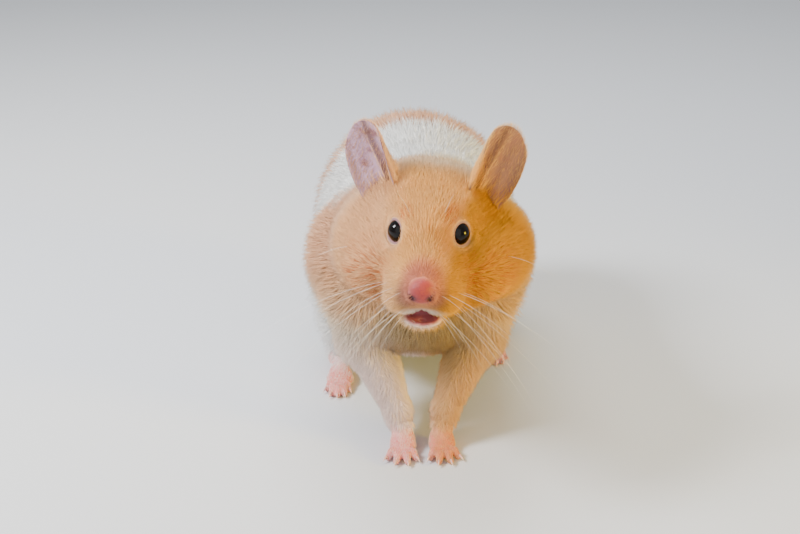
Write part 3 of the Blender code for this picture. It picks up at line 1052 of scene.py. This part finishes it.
skinColours = {
    "paleFoot": colour(228, 144, 134),
    "pinkFoot": colour(208, 114, 106),
    "footWarmLight": colour(198, 112, 62),
    "paleNose": colour(164, 62, 54),
    "deepNose": colour(140, 50, 50),
    "leftEarWarmLit": colour(150, 106, 84),
    "rightEar": colour(186, 150, 168),
    "earBlotchShade": colour(132, 80, 76),
    "earFoldShade": colour(104, 70, 58),
    "earCanalShade": colour(112, 66, 44),
    "lid": colour(150, 112, 112),
    "lip": colour(220, 168, 156),
    "mouth": colour(160, 88, 92),
    "wing": colour(120, 56, 66),
    "nostril": colour(64, 26, 34),
}


def skinMaterial():
    material, tree, surface = newMaterial("skin", {"Specular IOR Level": 0.25})
    markings = Markings(tree)
    paint = skinColours
    base = tree.vector("SCALE", markings.coat(), 0.9)
    fine = markings.noise(markings.body, 2.2, 3)
    blotch = tree.stretched(markings.noise(markings.head, 0.28, 3), 0.52, 0.66)
    # the inner left ear painted peach-brown as warm light, the right one lavender; dark blotches over
    # both, more on the right, are painted shade
    rightEar = tree.stretched(markings.part(markings.head, 0), 4, -4)
    earTint = tree.mixed(rightEar, paint["leftEarWarmLit"], paint["rightEar"])
    earTint = tree.mixed(blotch * (0.25 + 0.55 * rightEar), earTint, paint["earBlotchShade"])
    bare = tree.mixed(tree.stretched(fine, 0.4, 0.7), paint["paleFoot"], paint["pinkFoot"])
    # painted warm light on the left fore foot
    footWarmLight = tree.stretched(markings.part(markings.body, 0), 0, 4)
    footWarmLight = footWarmLight * tree.stretched(markings.part(markings.body, 1), -20, -28)
    bare = tree.mixed(footWarmLight * 0.8, bare, paint["footWarmLight"])
    nose = tree.mixed(tree.stretched(fine, 0.35, 0.7), paint["paleNose"], paint["deepNose"])
    # bare places painted over the coat's colour; the ear's fold and canal marks are painted shade
    for name, tint, most in (
        ("ear", earTint, 1), ("foot", bare, 1), ("tail", bare, 1), ("nose", nose, 1),
        ("earFoldShade", paint["earFoldShade"], 0.85), ("earCanalShade", paint["earCanalShade"], 0.85),
        ("lid", paint["lid"], 1), ("lip", paint["lip"], 1), ("mouth", paint["mouth"], 1),
    ):
        base = tree.mixed(tree.attribute(name) * most, base, tint)
    # painted shade round the nostrils and dark in their hollows
    for sign in sides.values():
        wing = markings.spot(markings.head, (sign * 3.0, -20.6, -9.0), (2.2, 3.0, 2.4), 0.7)
        base = tree.mixed(wing * 0.6, base, paint["wing"])
        nostril = markings.spot(markings.head, (sign * 2.45, -21.0, -9.0), (1.3, 2.4, 1.0), 0.5)
        base = tree.mixed(nostril, base, paint["nostril"])
    mottled = tree.stretched(fine, 0.3, 0.7, 0.9, 1.05)
    feed(tree, surface, "Base Color", tree.vector("SCALE", base, mottled))
    feed(tree, surface, "Roughness", 0.62 - 0.2 * tree.attribute("nose"))
    pores = markings.noise(markings.head, 4.5, 2)
    addBump(tree, surface, fine + 0.6 * pores, 0.45, 0.00025)
    return material


skin.data.materials.clear()
skin.data.materials.append(skinMaterial())
coatFur = coatMaterial()


# Eyes

eyeball = {"segments": 64, "rings": 32, "bulge": 0.035, "bulgeSharpness": 6}


def eyeMaterial():
    fixed = {"Roughness": 0.05, "Coat Weight": 0.1, "Coat Roughness": 0.02, "Specular IOR Level": 0.16}
    material, tree, surface = newMaterial("eye_gloss", fixed)
    markings = Markings(tree)
    fleck = markings.noise(markings.head, 1.6, 3)
    dark = colour(9, 7, 7)
    brown = colour(24, 14, 11)
    feed(tree, surface, "Base Color", tree.mixed(tree.stretched(fleck, 0.45, 0.75), dark, brown))
    return material


def addEyes():
    gloss = eyeMaterial()
    made = []
    for side, sign in sides.items():
        low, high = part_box("eye_" + side)
        bm = bmesh.new()
        bmesh.ops.create_uvsphere(
            bm, u_segments=eyeball["segments"], v_segments=eyeball["rings"], radius=1)
        x, y, z = head["eyeLook"]
        look = headTurn @ Vector((sign * x, y, z))
        turn = look.to_track_quat("Z", "Y").to_matrix().to_4x4()
        radius = (high.z - low.z) / 2
        for vertex in bm.verts:
            vertex.co *= 1 + eyeball["bulge"] * max(0, vertex.co.z) ** eyeball["bulgeSharpness"]
        whole = Matrix.Translation((low + high) / 2) @ turn @ Matrix.Scale(radius, 4)
        bmesh.ops.transform(bm, matrix=whole, verts=bm.verts)
        mesh = meshFrom(bm, "eyeball_" + side)
        mesh.shade_smooth()
        mesh.materials.append(gloss)
        made.append(addObject("eyeball_" + side, mesh))
    return made


eyes = addEyes()
print("eyes made")

# Fur and whiskers: thin three-sided shapes that start on the skin and lie along it

tuftShape = {"radii": ((0, 0.40), (0.4, 0.5)), "patch": 0.003}
whiskerShape = {
    "radii": ((0, 0.5), (0.12, 0.46), (0.25, 0.4), (0.4, 0.33), (0.55, 0.25), (0.7, 0.17), (0.85, 0.09)),
    "patch": 0.02,
}
sidesTop = 0.9
baseFrom = 0.92
drift = {"scale": 260.0, "turn": 3.0}
rootedBy = 0.03


def makeStrand(name, radii):
    # one strand along Z, a unit long, with its sides and its base laid out side by side in a square
    bm = bmesh.new()
    patch = bm.loops.layers.uv.new("patch")
    rings = []
    for along, radius in radii:
        angles = [math.radians(90 + 120 * corner) for corner in range(3)]
        around = [(math.cos(a) * radius, math.sin(a) * radius, along) for a in angles]
        rings.append([bm.verts.new(point) for point in around])
    tip = bm.verts.new((0, 0, 1))
    heights = [along * sidesTop for along, radius in radii]

    def addFace(corners, places):
        made = bm.faces.new(corners)
        for loop, place in zip(made.loops, places):
            loop[patch].uv = place

    for corner in range(3):
        after = (corner + 1) % 3
        left, right = corner / 3, (corner + 1) / 3
        for lower, upper, low, high in zip(rings, rings[1:], heights, heights[1:]):
            addFace((lower[corner], lower[after], upper[after], upper[corner]),
                    ((left, low), (right, low), (right, high), (left, high)))
        addFace((rings[-1][corner], rings[-1][after], tip),
                ((left, heights[-1]), (right, heights[-1]), ((left + right) / 2, sidesTop)))
    addFace(rings[0][::-1], ((0, baseFrom), (0.5, baseFrom), (0.25, 1)))
    mesh = meshFrom(bm, name)
    shape = coordinates(mesh)
    addAttribute(mesh, "shape", shape)
    addAttribute(mesh, "along", shape[:, 2])
    return addObject(name, mesh)


def newGroup(name, kinds, result):
    # a geometry tree, and its inputs by name
    group = bpy.data.node_groups.new(name, "GeometryNodeTree")
    for title, kind in kinds.items():
        group.interface.new_socket(title, in_out="INPUT", socket_type="NodeSocket" + kind)
    group.interface.new_socket(result, in_out="OUTPUT", socket_type="NodeSocketGeometry")
    tree = Tree(group)
    entry = group.nodes.new("NodeGroupInput")
    return tree, {socket.name: Socket(tree, socket) for socket in entry.outputs if socket.name}


def endGroup(tree, result):
    leave = tree.tree.nodes.new("NodeGroupOutput")
    tree.tree.links.new(result.output, leave.inputs[0])
    return tree.tree


def strandTree(name, scattered):
    # strands on points scattered over a surface, or on each vertex of a mesh
    kinds = {"Surface": "Geometry", "Density": "Float", "Seed": "Int", "Strand": "Object"}
    kinds["Material"] = "Material"
    kinds.update(dict.fromkeys(("Lift", "Droop", "Curl", "Wander", "Patch"), "Float"))
    tree, given = newGroup(name, kinds, "Strands")

    def named(title, kind="FLOAT"):
        return tree.add("GeometryNodeInputNamedAttribute", {"data_type": kind}, {"Name": title})

    def store(geometry, title, value, kind="FLOAT", domain="POINT"):
        settings = {"data_type": kind, "domain": domain}
        values = {"Geometry": geometry, "Name": title, "Value": value}
        return tree.add("GeometryNodeStoreNamedAttribute", settings, values)

    if scattered:
        density = named("cover") * given["Density"]
        values = {"Mesh": given["Surface"], "Density": density, "Seed": given["Seed"]}
        points = tree.add("GeometryNodeDistributePointsOnFaces", {"distribute_method": "RANDOM"}, values)
    else:
        points = tree.add("GeometryNodeMeshToPoints", {}, {"Mesh": given["Surface"]})
    points = store(points, "root", tree.add("GeometryNodeInputPosition"), "FLOAT_VECTOR")
    chances = (("tone", 0.0, 1.0), ("turnBy", -1.0, 1.0), ("curlBy", -1.0, 1.0), ("grow", 0.75, 1.2))
    for offset, (title, low, high) in enumerate(chances):
        seed = given["Seed"] * 10 + offset
        chance = tree.add("FunctionNodeRandomValue", {"data_type": "FLOAT"},
                          {"Min": low, "Max": high, "Seed": seed})
        points = store(points, title, chance)
    shape = tree.add("GeometryNodeObjectInfo", {}, {"Object": given["Strand"]}, 4)
    strands = tree.add("GeometryNodeInstanceOnPoints", {}, {"Points": points, "Instance": shape})
    strands = tree.add("GeometryNodeRealizeInstances", {}, {"Geometry": strands})

    root = named("root", "FLOAT_VECTOR")
    up = named("up", "FLOAT_VECTOR")
    lie = named("lie", "FLOAT_VECTOR")
    along = named("along")
    long = named("hairLength") * named("grow")
    values = {"Vector": root, "Scale": drift["scale"], "Detail": 1.0}
    drifted = (tree.add("ShaderNodeTexNoise", {}, values) - 0.5) * drift["turn"]
    aside = tree.vector("CROSS_PRODUCT", lie, up)
    angle = (named("turnBy") + drifted) * given["Wander"]
    forward = tree.vector("ADD", lie, tree.vector("SCALE", aside, angle))
    forward = tree.vector("NORMALIZE", forward)
    across = tree.vector("CROSS_PRODUCT", up, forward)
    width = named("hairWidth")
    # a strand starts a little under the skin, leaves it steeply and then lies along it
    stance = 0.8 + 0.4 * named("tone")
    rise = long * (given["Lift"] * along * (2.0 - along) * stance - rootedBy)
    bend = long * given["Curl"] * named("curlBy") * along * along
    x = tree.add("ShaderNodeSeparateXYZ", {}, {0: named("shape", "FLOAT_VECTOR")}, 0)
    y = tree.add("ShaderNodeSeparateXYZ", {}, {0: named("shape", "FLOAT_VECTOR")}, 1)
    fall = tree.vector("SCALE", (0.0, 0.0, -1.0), long * given["Droop"] * along * along)
    place = tree.vector("ADD", root, tree.vector("SCALE", forward, long * along))
    place = tree.vector("ADD", place, tree.vector("SCALE", up, rise + y * width))
    place = tree.vector("ADD", place, tree.vector("SCALE", across, bend + x * width))
    place = tree.vector("ADD", place, fall)
    strands = tree.add("GeometryNodeSetPosition", {}, {"Geometry": strands, "Position": place})
    patch = tree.vector("SUBTRACT", named("patch", "FLOAT_VECTOR"), (0.5, 0.5, 0))
    patch = tree.vector("SCALE", patch, given["Patch"])
    patch = tree.vector("ADD", named("rootMap", "FLOAT_VECTOR"), patch)
    strands = store(strands, "OFBake", patch, "FLOAT2", "CORNER")
    for title in (
        "root", "up", "lie", "shape", "patch", "rootMap", "hairLength", "hairWidth", "cover",
        "turnBy", "curlBy", "grow",
    ):
        strands = tree.add("GeometryNodeRemoveAttribute", {}, {"Geometry": strands, "Name": title})
    strands = tree.add("GeometryNodeRealizeInstances", {}, {"Geometry": strands})
    values = {"Geometry": strands, "Material": given["Material"]}
    return endGroup(tree, tree.add("GeometryNodeSetMaterial", {}, values))


def grown(surface, group, values, name):
    # the strands that grow on a surface, as a plain mesh
    identifiers = {item.name: item.identifier for item in group.interface.items_tree}
    grow = surface.modifiers.new("strands", "NODES")
    grow.node_group = group
    for title, value in values.items():
        grow[identifiers[title]] = value
    graph = bpy.context.evaluated_depsgraph_get()
    mesh = bpy.data.meshes.new_from_object(surface.evaluated_get(graph))
    mesh.name = name
    mesh.shade_smooth()
    bpy.data.objects.remove(surface)
    return addObject(name, mesh)


coatParts = {
    "face": {"tufts": 13000, "lift": 0.36, "curl": 0.1, "wander": 0.12},
    "cheek": {"tufts": 15500, "lift": 0.38, "curl": 0.14, "wander": 0.14},
    "fore": {"tufts": 19400, "lift": 0.4, "curl": 0.16, "wander": 0.16},
    "hind": {"tufts": 17000, "lift": 0.4, "curl": 0.16, "wander": 0.16},
    "ear": {"tufts": 4500, "lift": 0.12, "curl": 0.2, "wander": 0.3},
    "foot": {"tufts": 3000, "lift": 0.1, "curl": 0.1, "wander": 0.15},
}
zoneEdges = {"hind": 2, "cheek": 24, "face": 5}
fuzzLengths = {"ear": 1.7, "foot": 1.1}
fuzzWidth = 0.07
earBaseTuft = {"cover": 1.5, "longer": 2.2}
mapMargin = 0.004


def zoneOf(points, local, earShare, footShare):
    # the number of the coat part that covers each place
    faceFur, cheek, fore, hind, earFuzz, footFuzz = range(len(coatParts))
    zone = np.where(points[:, 1] < zoneEdges["hind"], fore, hind)
    zone = np.where(local[:, 1] - 0.35 * local[:, 2] < zoneEdges["cheek"], cheek, zone)
    inFace = local[:, 1] + 0.3 * np.abs(local[:, 0]) < zoneEdges["face"]
    zone = np.where((zone == cheek) & inFace, faceFur, zone)
    zone = np.where(earShare > 0.5, earFuzz, zone)
    return np.where(footShare > 0.5, footFuzz, zone)


def underCoat(part, chosen, faces):
    # the part of the skin that a coat piece grows on, unwrapped by itself
    used = np.unique(faces[chosen])
    number = np.full(len(skinPoints), -1, np.int64)
    number[used] = np.arange(len(used))
    inPiece = number[faces[chosen]]
    placed = coordinates(skin.data)[used]
    mesh = newMesh("under_" + part, placed.tolist(), inPiece.tolist())
    long = hairLength[used]
    wide = hairWidth[used]
    cover = (1 - bareness[used]) ** 2 / (long * wide)
    if part in fuzzLengths:
        long = np.full(len(used), fuzzLengths[part], np.float32)
        wide = np.full(len(used), fuzzWidth, np.float32)
        cover = smooth(skinPoints[used][:, 2], 0.4, 1.5) * (1 - 0.8 * innerEar[used])
        tuftAt = smooth(-earAcross[used], 0.2, 0.7) * (1 - smooth(earUp[used], 0.2, 0.6)) * earness[used]
        cover += earBaseTuft["cover"] * tuftAt
        long += earBaseTuft["longer"] * tuftAt
    addAttribute(mesh, "cover", cover)
    addAttribute(mesh, "hairLength", long * millimetre)
    addAttribute(mesh, "hairWidth", wide * millimetre)
    addAttribute(mesh, "up", skinNormals[used])
    addAttribute(mesh, "lie", skinLie[used])
    made = addObject("under_" + part, mesh)
    unwrap(made)
    corners = placed[inPiece]
    areas = lengthOf(np.cross(corners[:, 1] - corners[:, 0], corners[:, 2] - corners[:, 0])) / 2
    covered = (cover[inPiece].mean(1) * areas).sum()
    return made, covered


def unwrap(piece):
    mesh = piece.data
    mesh.uv_layers.new(name="rootMap")
    bpy.ops.object.select_all(action="DESELECT")
    bpy.context.view_layer.objects.active = piece
    piece.select_set(True)
    bpy.ops.object.mode_set(mode="EDIT")
    bpy.ops.mesh.select_all(action="SELECT")
    bpy.ops.uv.smart_project(
        angle_limit=math.radians(66), island_margin=mapMargin, area_weight=0.5,
        correct_aspect=False, scale_to_bounds=True)
    bpy.ops.object.mode_set(mode="OBJECT")
    flat = np.empty(len(mesh.loops) * 2, np.float32)
    mesh.uv_layers["rootMap"].data.foreach_get("uv", flat)
    flat = flat.reshape(-1, 2)
    low, high = flat.min(0), flat.max(0)
    flat = mapMargin + (flat - low) / (high - low) * (1 - 2 * mapMargin)
    mesh.uv_layers["rootMap"].data.foreach_set("uv", flat.ravel())


def triangles(mesh):
    mesh.calc_loop_triangles()
    flat = np.empty(len(mesh.loop_triangles) * 3, np.int64)
    mesh.loop_triangles.foreach_get("vertices", flat)
    return flat.reshape(-1, 3)


def growCoat():
    tuft = makeStrand("tuft", tuftShape["radii"])
    group = strandTree("coat tufts", True)
    faces = triangles(skin.data)
    middles = skinPoints[faces].mean(1)
    local = skinLocal[faces].mean(1)
    zones = zoneOf(middles, local, earness[faces].mean(1), footness[faces].mean(1))
    made = []
    for number, (part, look) in enumerate(coatParts.items()):
        across = middles[:, 0] if part in ("fore", "hind", "foot") else local[:, 0]
        inZone = zones == number
        if part not in fuzzLengths:
            inZone &= bareness[faces].min(1) < 0.9
        for side, sign in sides.items():
            surface, covered = underCoat(part, inZone & (across * sign >= 0), faces)
            values = {
                "Density": look["tufts"] / covered,
                "Seed": len(made) + 1,
                "Strand": tuft,
                "Material": coatFur,
                "Lift": look["lift"],
                "Droop": 0.0,
                "Curl": look["curl"],
                "Wander": look["wander"],
                "Patch": tuftShape["patch"],
            }
            coat = grown(surface, group, values, "coat_" + part + "_" + side)
            print("coat", part, side, len(coat.data.polygons), "faces")
            made.append(coat)
    bpy.data.objects.remove(tuft)
    return made


coats = growCoat()


# Whiskers, from the pads beside the nose, the brows and the cheeks

def whiskerMaterial():
    material, tree, surface = newMaterial("whisker", {"Roughness": 0.4, "Specular IOR Level": 0.5})
    along = tree.attribute("along")
    feed(tree, surface, "Base Color", tree.mixed(along, colour(236, 214, 190), colour(252, 250, 246)))
    return material


whiskerRows = {
    "rows": 3,
    "columns": 4,
    "at": (3.4, -17.0, -9.2),
    "alongRow": (0.95, 1.5, -0.1),
    "downRow": (-0.1, 0.4, -1.6),
    "look": (1, -0.4, -0.3),
    "backByColumn": 0.16,
    "downByRow": 0.34,
    "shortest": 9,
    "longest": 30,
    "width": 0.095,
    "seed": 31,
    "droop": 0.32,
    "curl": 0.1,
    "wander": 0.07,
}
browWhiskers = (((5.2, -5.0, 7.0), (0.35, -0.2, 1), 9), ((15.0, 2.0, -7.5), (1, 0.1, -0.1), 12))


def whiskerPlaces():
    # where each whisker of the left side starts, its direction and its length, in the head's frame
    rows = whiskerRows
    places = list(browWhiskers)
    for row in range(rows["rows"]):
        for column in range(rows["columns"]):
            start = Vector(rows["at"]) + column * Vector(rows["alongRow"])
            start += row * Vector(rows["downRow"])
            direction = Vector(rows["look"])
            direction += Vector((0, rows["backByColumn"] * column, -rows["downByRow"] * row))
            share = (column / (rows["columns"] - 1)) ** 0.7
            long = between(rows["shortest"], rows["longest"], share)
            places.append((start, direction, long))
    return places


def addWhiskers():
    starts, directions, ups, lengths = [], [], [], []
    for sign in sides.values():
        for start, direction, long in whiskerPlaces():
            start = inFrame(fromHead((sign * start[0], start[1], start[2])))
            direction = headTurn @ Vector((sign * direction[0], direction[1], direction[2]))
            direction.normalize()
            starts.append(skin.closest_point_on_mesh(start)[1])
            directions.append(direction)
            ups.append(direction.orthogonal().normalized())
            lengths.append(long * millimetre)
    mesh = newMesh("whisker roots", starts)
    addAttribute(mesh, "lie", directions)
    addAttribute(mesh, "up", ups)
    addAttribute(mesh, "hairLength", lengths)
    addAttribute(mesh, "hairWidth", [whiskerRows["width"] * millimetre] * len(starts))
    across = math.ceil(math.sqrt(len(starts)))
    squares = [(number % across, number // across) for number in range(len(starts))]
    maps = [((x + 0.5) / across, (y + 0.5) / across, 0) for x, y in squares]
    addAttribute(mesh, "rootMap", maps)
    strand = makeStrand("strand", whiskerShape["radii"])
    values = {
        "Seed": whiskerRows["seed"],
        "Strand": strand,
        "Material": whiskerMaterial(),
        "Lift": 0.0,
        "Droop": whiskerRows["droop"],
        "Curl": whiskerRows["curl"],
        "Wander": whiskerRows["wander"],
        "Patch": whiskerShape["patch"],
    }
    made = grown(addObject("whisker roots", mesh), strandTree("whiskers", False), values, "whiskers")
    bpy.data.objects.remove(strand)
    return made


whiskers = addWhiskers()
print("whiskers grown")

# Claws

claw = {
    "length": 1.8,
    "radius": 0.42,
    "flatness": 0.75,
    "taper": 1.4,
    "bend": 0.55,
    "rings": 6,
    "corners": 8,
    "height": 1.35,
    "pastTip": 0.45,
}


def makeClaw():
    # a hooked cone that starts at the origin, runs along Y and bends down
    bm = bmesh.new()
    loops = []
    for ring in range(claw["rings"]):
        along = ring / claw["rings"]
        radius = claw["radius"] * (1 - along ** claw["taper"])
        flat = radius * claw["flatness"]
        middle = Vector((0, along, -claw["bend"] * along * along)) * claw["length"]
        angles = [math.tau * corner / claw["corners"] for corner in range(claw["corners"])]
        outline = [Vector((math.cos(a) * flat, 0, math.sin(a) * radius)) for a in angles]
        loops.append([bm.verts.new(middle + corner) for corner in outline])
    tip = bm.verts.new(Vector((0, 1, -claw["bend"])) * claw["length"])
    for lower, upper in zip(loops, loops[1:]):
        for corner in range(claw["corners"]):
            after = (corner + 1) % claw["corners"]
            bm.faces.new((lower[corner], lower[after], upper[after], upper[corner]))
    for corner in range(claw["corners"]):
        bm.faces.new((loops[-1][corner], loops[-1][(corner + 1) % claw["corners"]], tip))
    bm.faces.new(loops[0])
    bmesh.ops.recalc_face_normals(bm, faces=bm.faces)
    bmesh.ops.scale(bm, vec=(millimetre,) * 3, verts=bm.verts)
    mesh = meshFrom(bm, "claw")
    addAttribute(mesh, "along", -coordinates(mesh)[:, 2] / (claw["bend"] * claw["length"] * millimetre))
    return addObject("claw", mesh)


def clawMaterial():
    material, tree, surface = newMaterial("claw", {"Roughness": 0.35, "Specular IOR Level": 0.5})
    markings = Markings(tree)
    grain = markings.noise(markings.body, 3.0, 2)
    horn = tree.mixed(tree.attribute("along"), colour(222, 170, 160), colour(240, 226, 208))
    shade = tree.stretched(grain, 0.3, 0.7, 0.85, 1.05)
    feed(tree, surface, "Base Color", tree.vector("SCALE", horn, shade))
    addBump(tree, surface, grain, 0.2, 0.0001)
    return material


def clawTree():
    kinds = {"Toes": "Geometry", "Claw": "Object", "Material": "Material"}
    tree, given = newGroup("claws", kinds, "Claws")
    points = tree.add("GeometryNodeMeshToPoints", {}, {"Mesh": given["Toes"]})
    turn = tree.add("GeometryNodeInputNamedAttribute", {"data_type": "FLOAT_VECTOR"}, {"Name": "turn"})
    turn = tree.add("FunctionNodeEulerToRotation", {}, {"Euler": turn})
    shape = tree.add("GeometryNodeObjectInfo", {}, {"Object": given["Claw"]}, 4)
    values = {"Points": points, "Instance": shape, "Rotation": turn}
    made = tree.add("GeometryNodeInstanceOnPoints", {}, values)
    made = tree.add("GeometryNodeRealizeInstances", {}, {"Geometry": made})
    made = tree.add("GeometryNodeRemoveAttribute", {}, {"Geometry": made, "Name": "turn"})
    values = {"Geometry": made, "Material": given["Material"]}
    return endGroup(tree, tree.add("GeometryNodeSetMaterial", {}, values))


def addClaws():
    tips = []
    turns = []
    for feet in (foreFeet, hindFeet):
        for side, sign in sides.items():
            for turn, reach in feet["toes"]:
                share = (reach + feet["toeRadius"] * claw["pastTip"]) / reach
                tips.append(inFrame(toePoint(feet, side, (turn, reach), share, claw["height"])))
                turns.append((0, 0, math.radians(180 + turn * sign)))
    mesh = newMesh("toe tips", tips)
    addAttribute(mesh, "turn", turns)
    shape = makeClaw()
    values = {"Claw": shape, "Material": clawMaterial()}
    made = grown(addObject("toe tips", mesh), clawTree(), values, "claws")
    bpy.data.objects.remove(shape)
    return made


claws = addClaws()
print("claws made")

# Floor and light

floorReach = 3.0


def addFloor():
    corners = [(x * floorReach, y * floorReach, 0) for x, y in ((-1, -1), (1, -1), (1, 1), (-1, 1))]
    mesh = newMesh("floor", corners, [(0, 1, 2, 3)])
    fixed = {"Roughness": 0.7, "Base Color": colour(214, 214, 216)}
    mesh.materials.append(newMaterial("floor", fixed)[0])
    return addObject("floor", mesh)


lamps = {
    "key": {"at": (-0.40, -0.10, 0.42), "size": 0.16, "power": 5.2, "tint": (0.93, 0.96, 1.0)},
    "warm": {"at": (0.46, -0.22, 0.14), "size": 0.14, "power": 0.445, "tint": (1.0, 0.7, 0.02)},
    "front": {"at": (-0.10, -0.75, 0.40), "size": 1.1, "power": 4.7, "tint": (1.0, 0.96, 0.92)},
    "top": {"at": (-0.05, 0.20, 0.60), "size": 0.4, "power": 3.0, "tint": (0.95, 0.98, 1.0)},
}
spreads = {"warm": 60}
studio = {"Color": (0.9, 0.95, 1.0, 1), "Strength": 0.55}


def addLamps():
    aim = inFrame(head["at"])
    for name, lamp in lamps.items():
        light = bpy.data.lights.new(name, "AREA")
        light.energy = lamp["power"]
        light.size = lamp["size"]
        light.spread = math.radians(spreads.get(name, 180))
        light.color = lamp["tint"]
        made = addObject(name, light)
        made.location = lamp["at"]
        made.rotation_euler = (aim - made.location).to_track_quat("-Z", "Y").to_euler()
    world = bpy.data.worlds.new("studio")
    world.use_nodes = True
    for socket, value in studio.items():
        world.node_tree.nodes["Background"].inputs[socket].default_value = value
    bpy.context.scene.world = world


floor = addFloor()
addLamps()
print("floor and lamps set")

for piece in [skin, *eyes, *coats, whiskers, claws]:
    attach(piece, "root")
flesh = [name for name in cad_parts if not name.startswith("eye_")]
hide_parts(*flesh)
for eye, side in zip(eyes, sides):
    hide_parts("eye_" + side)
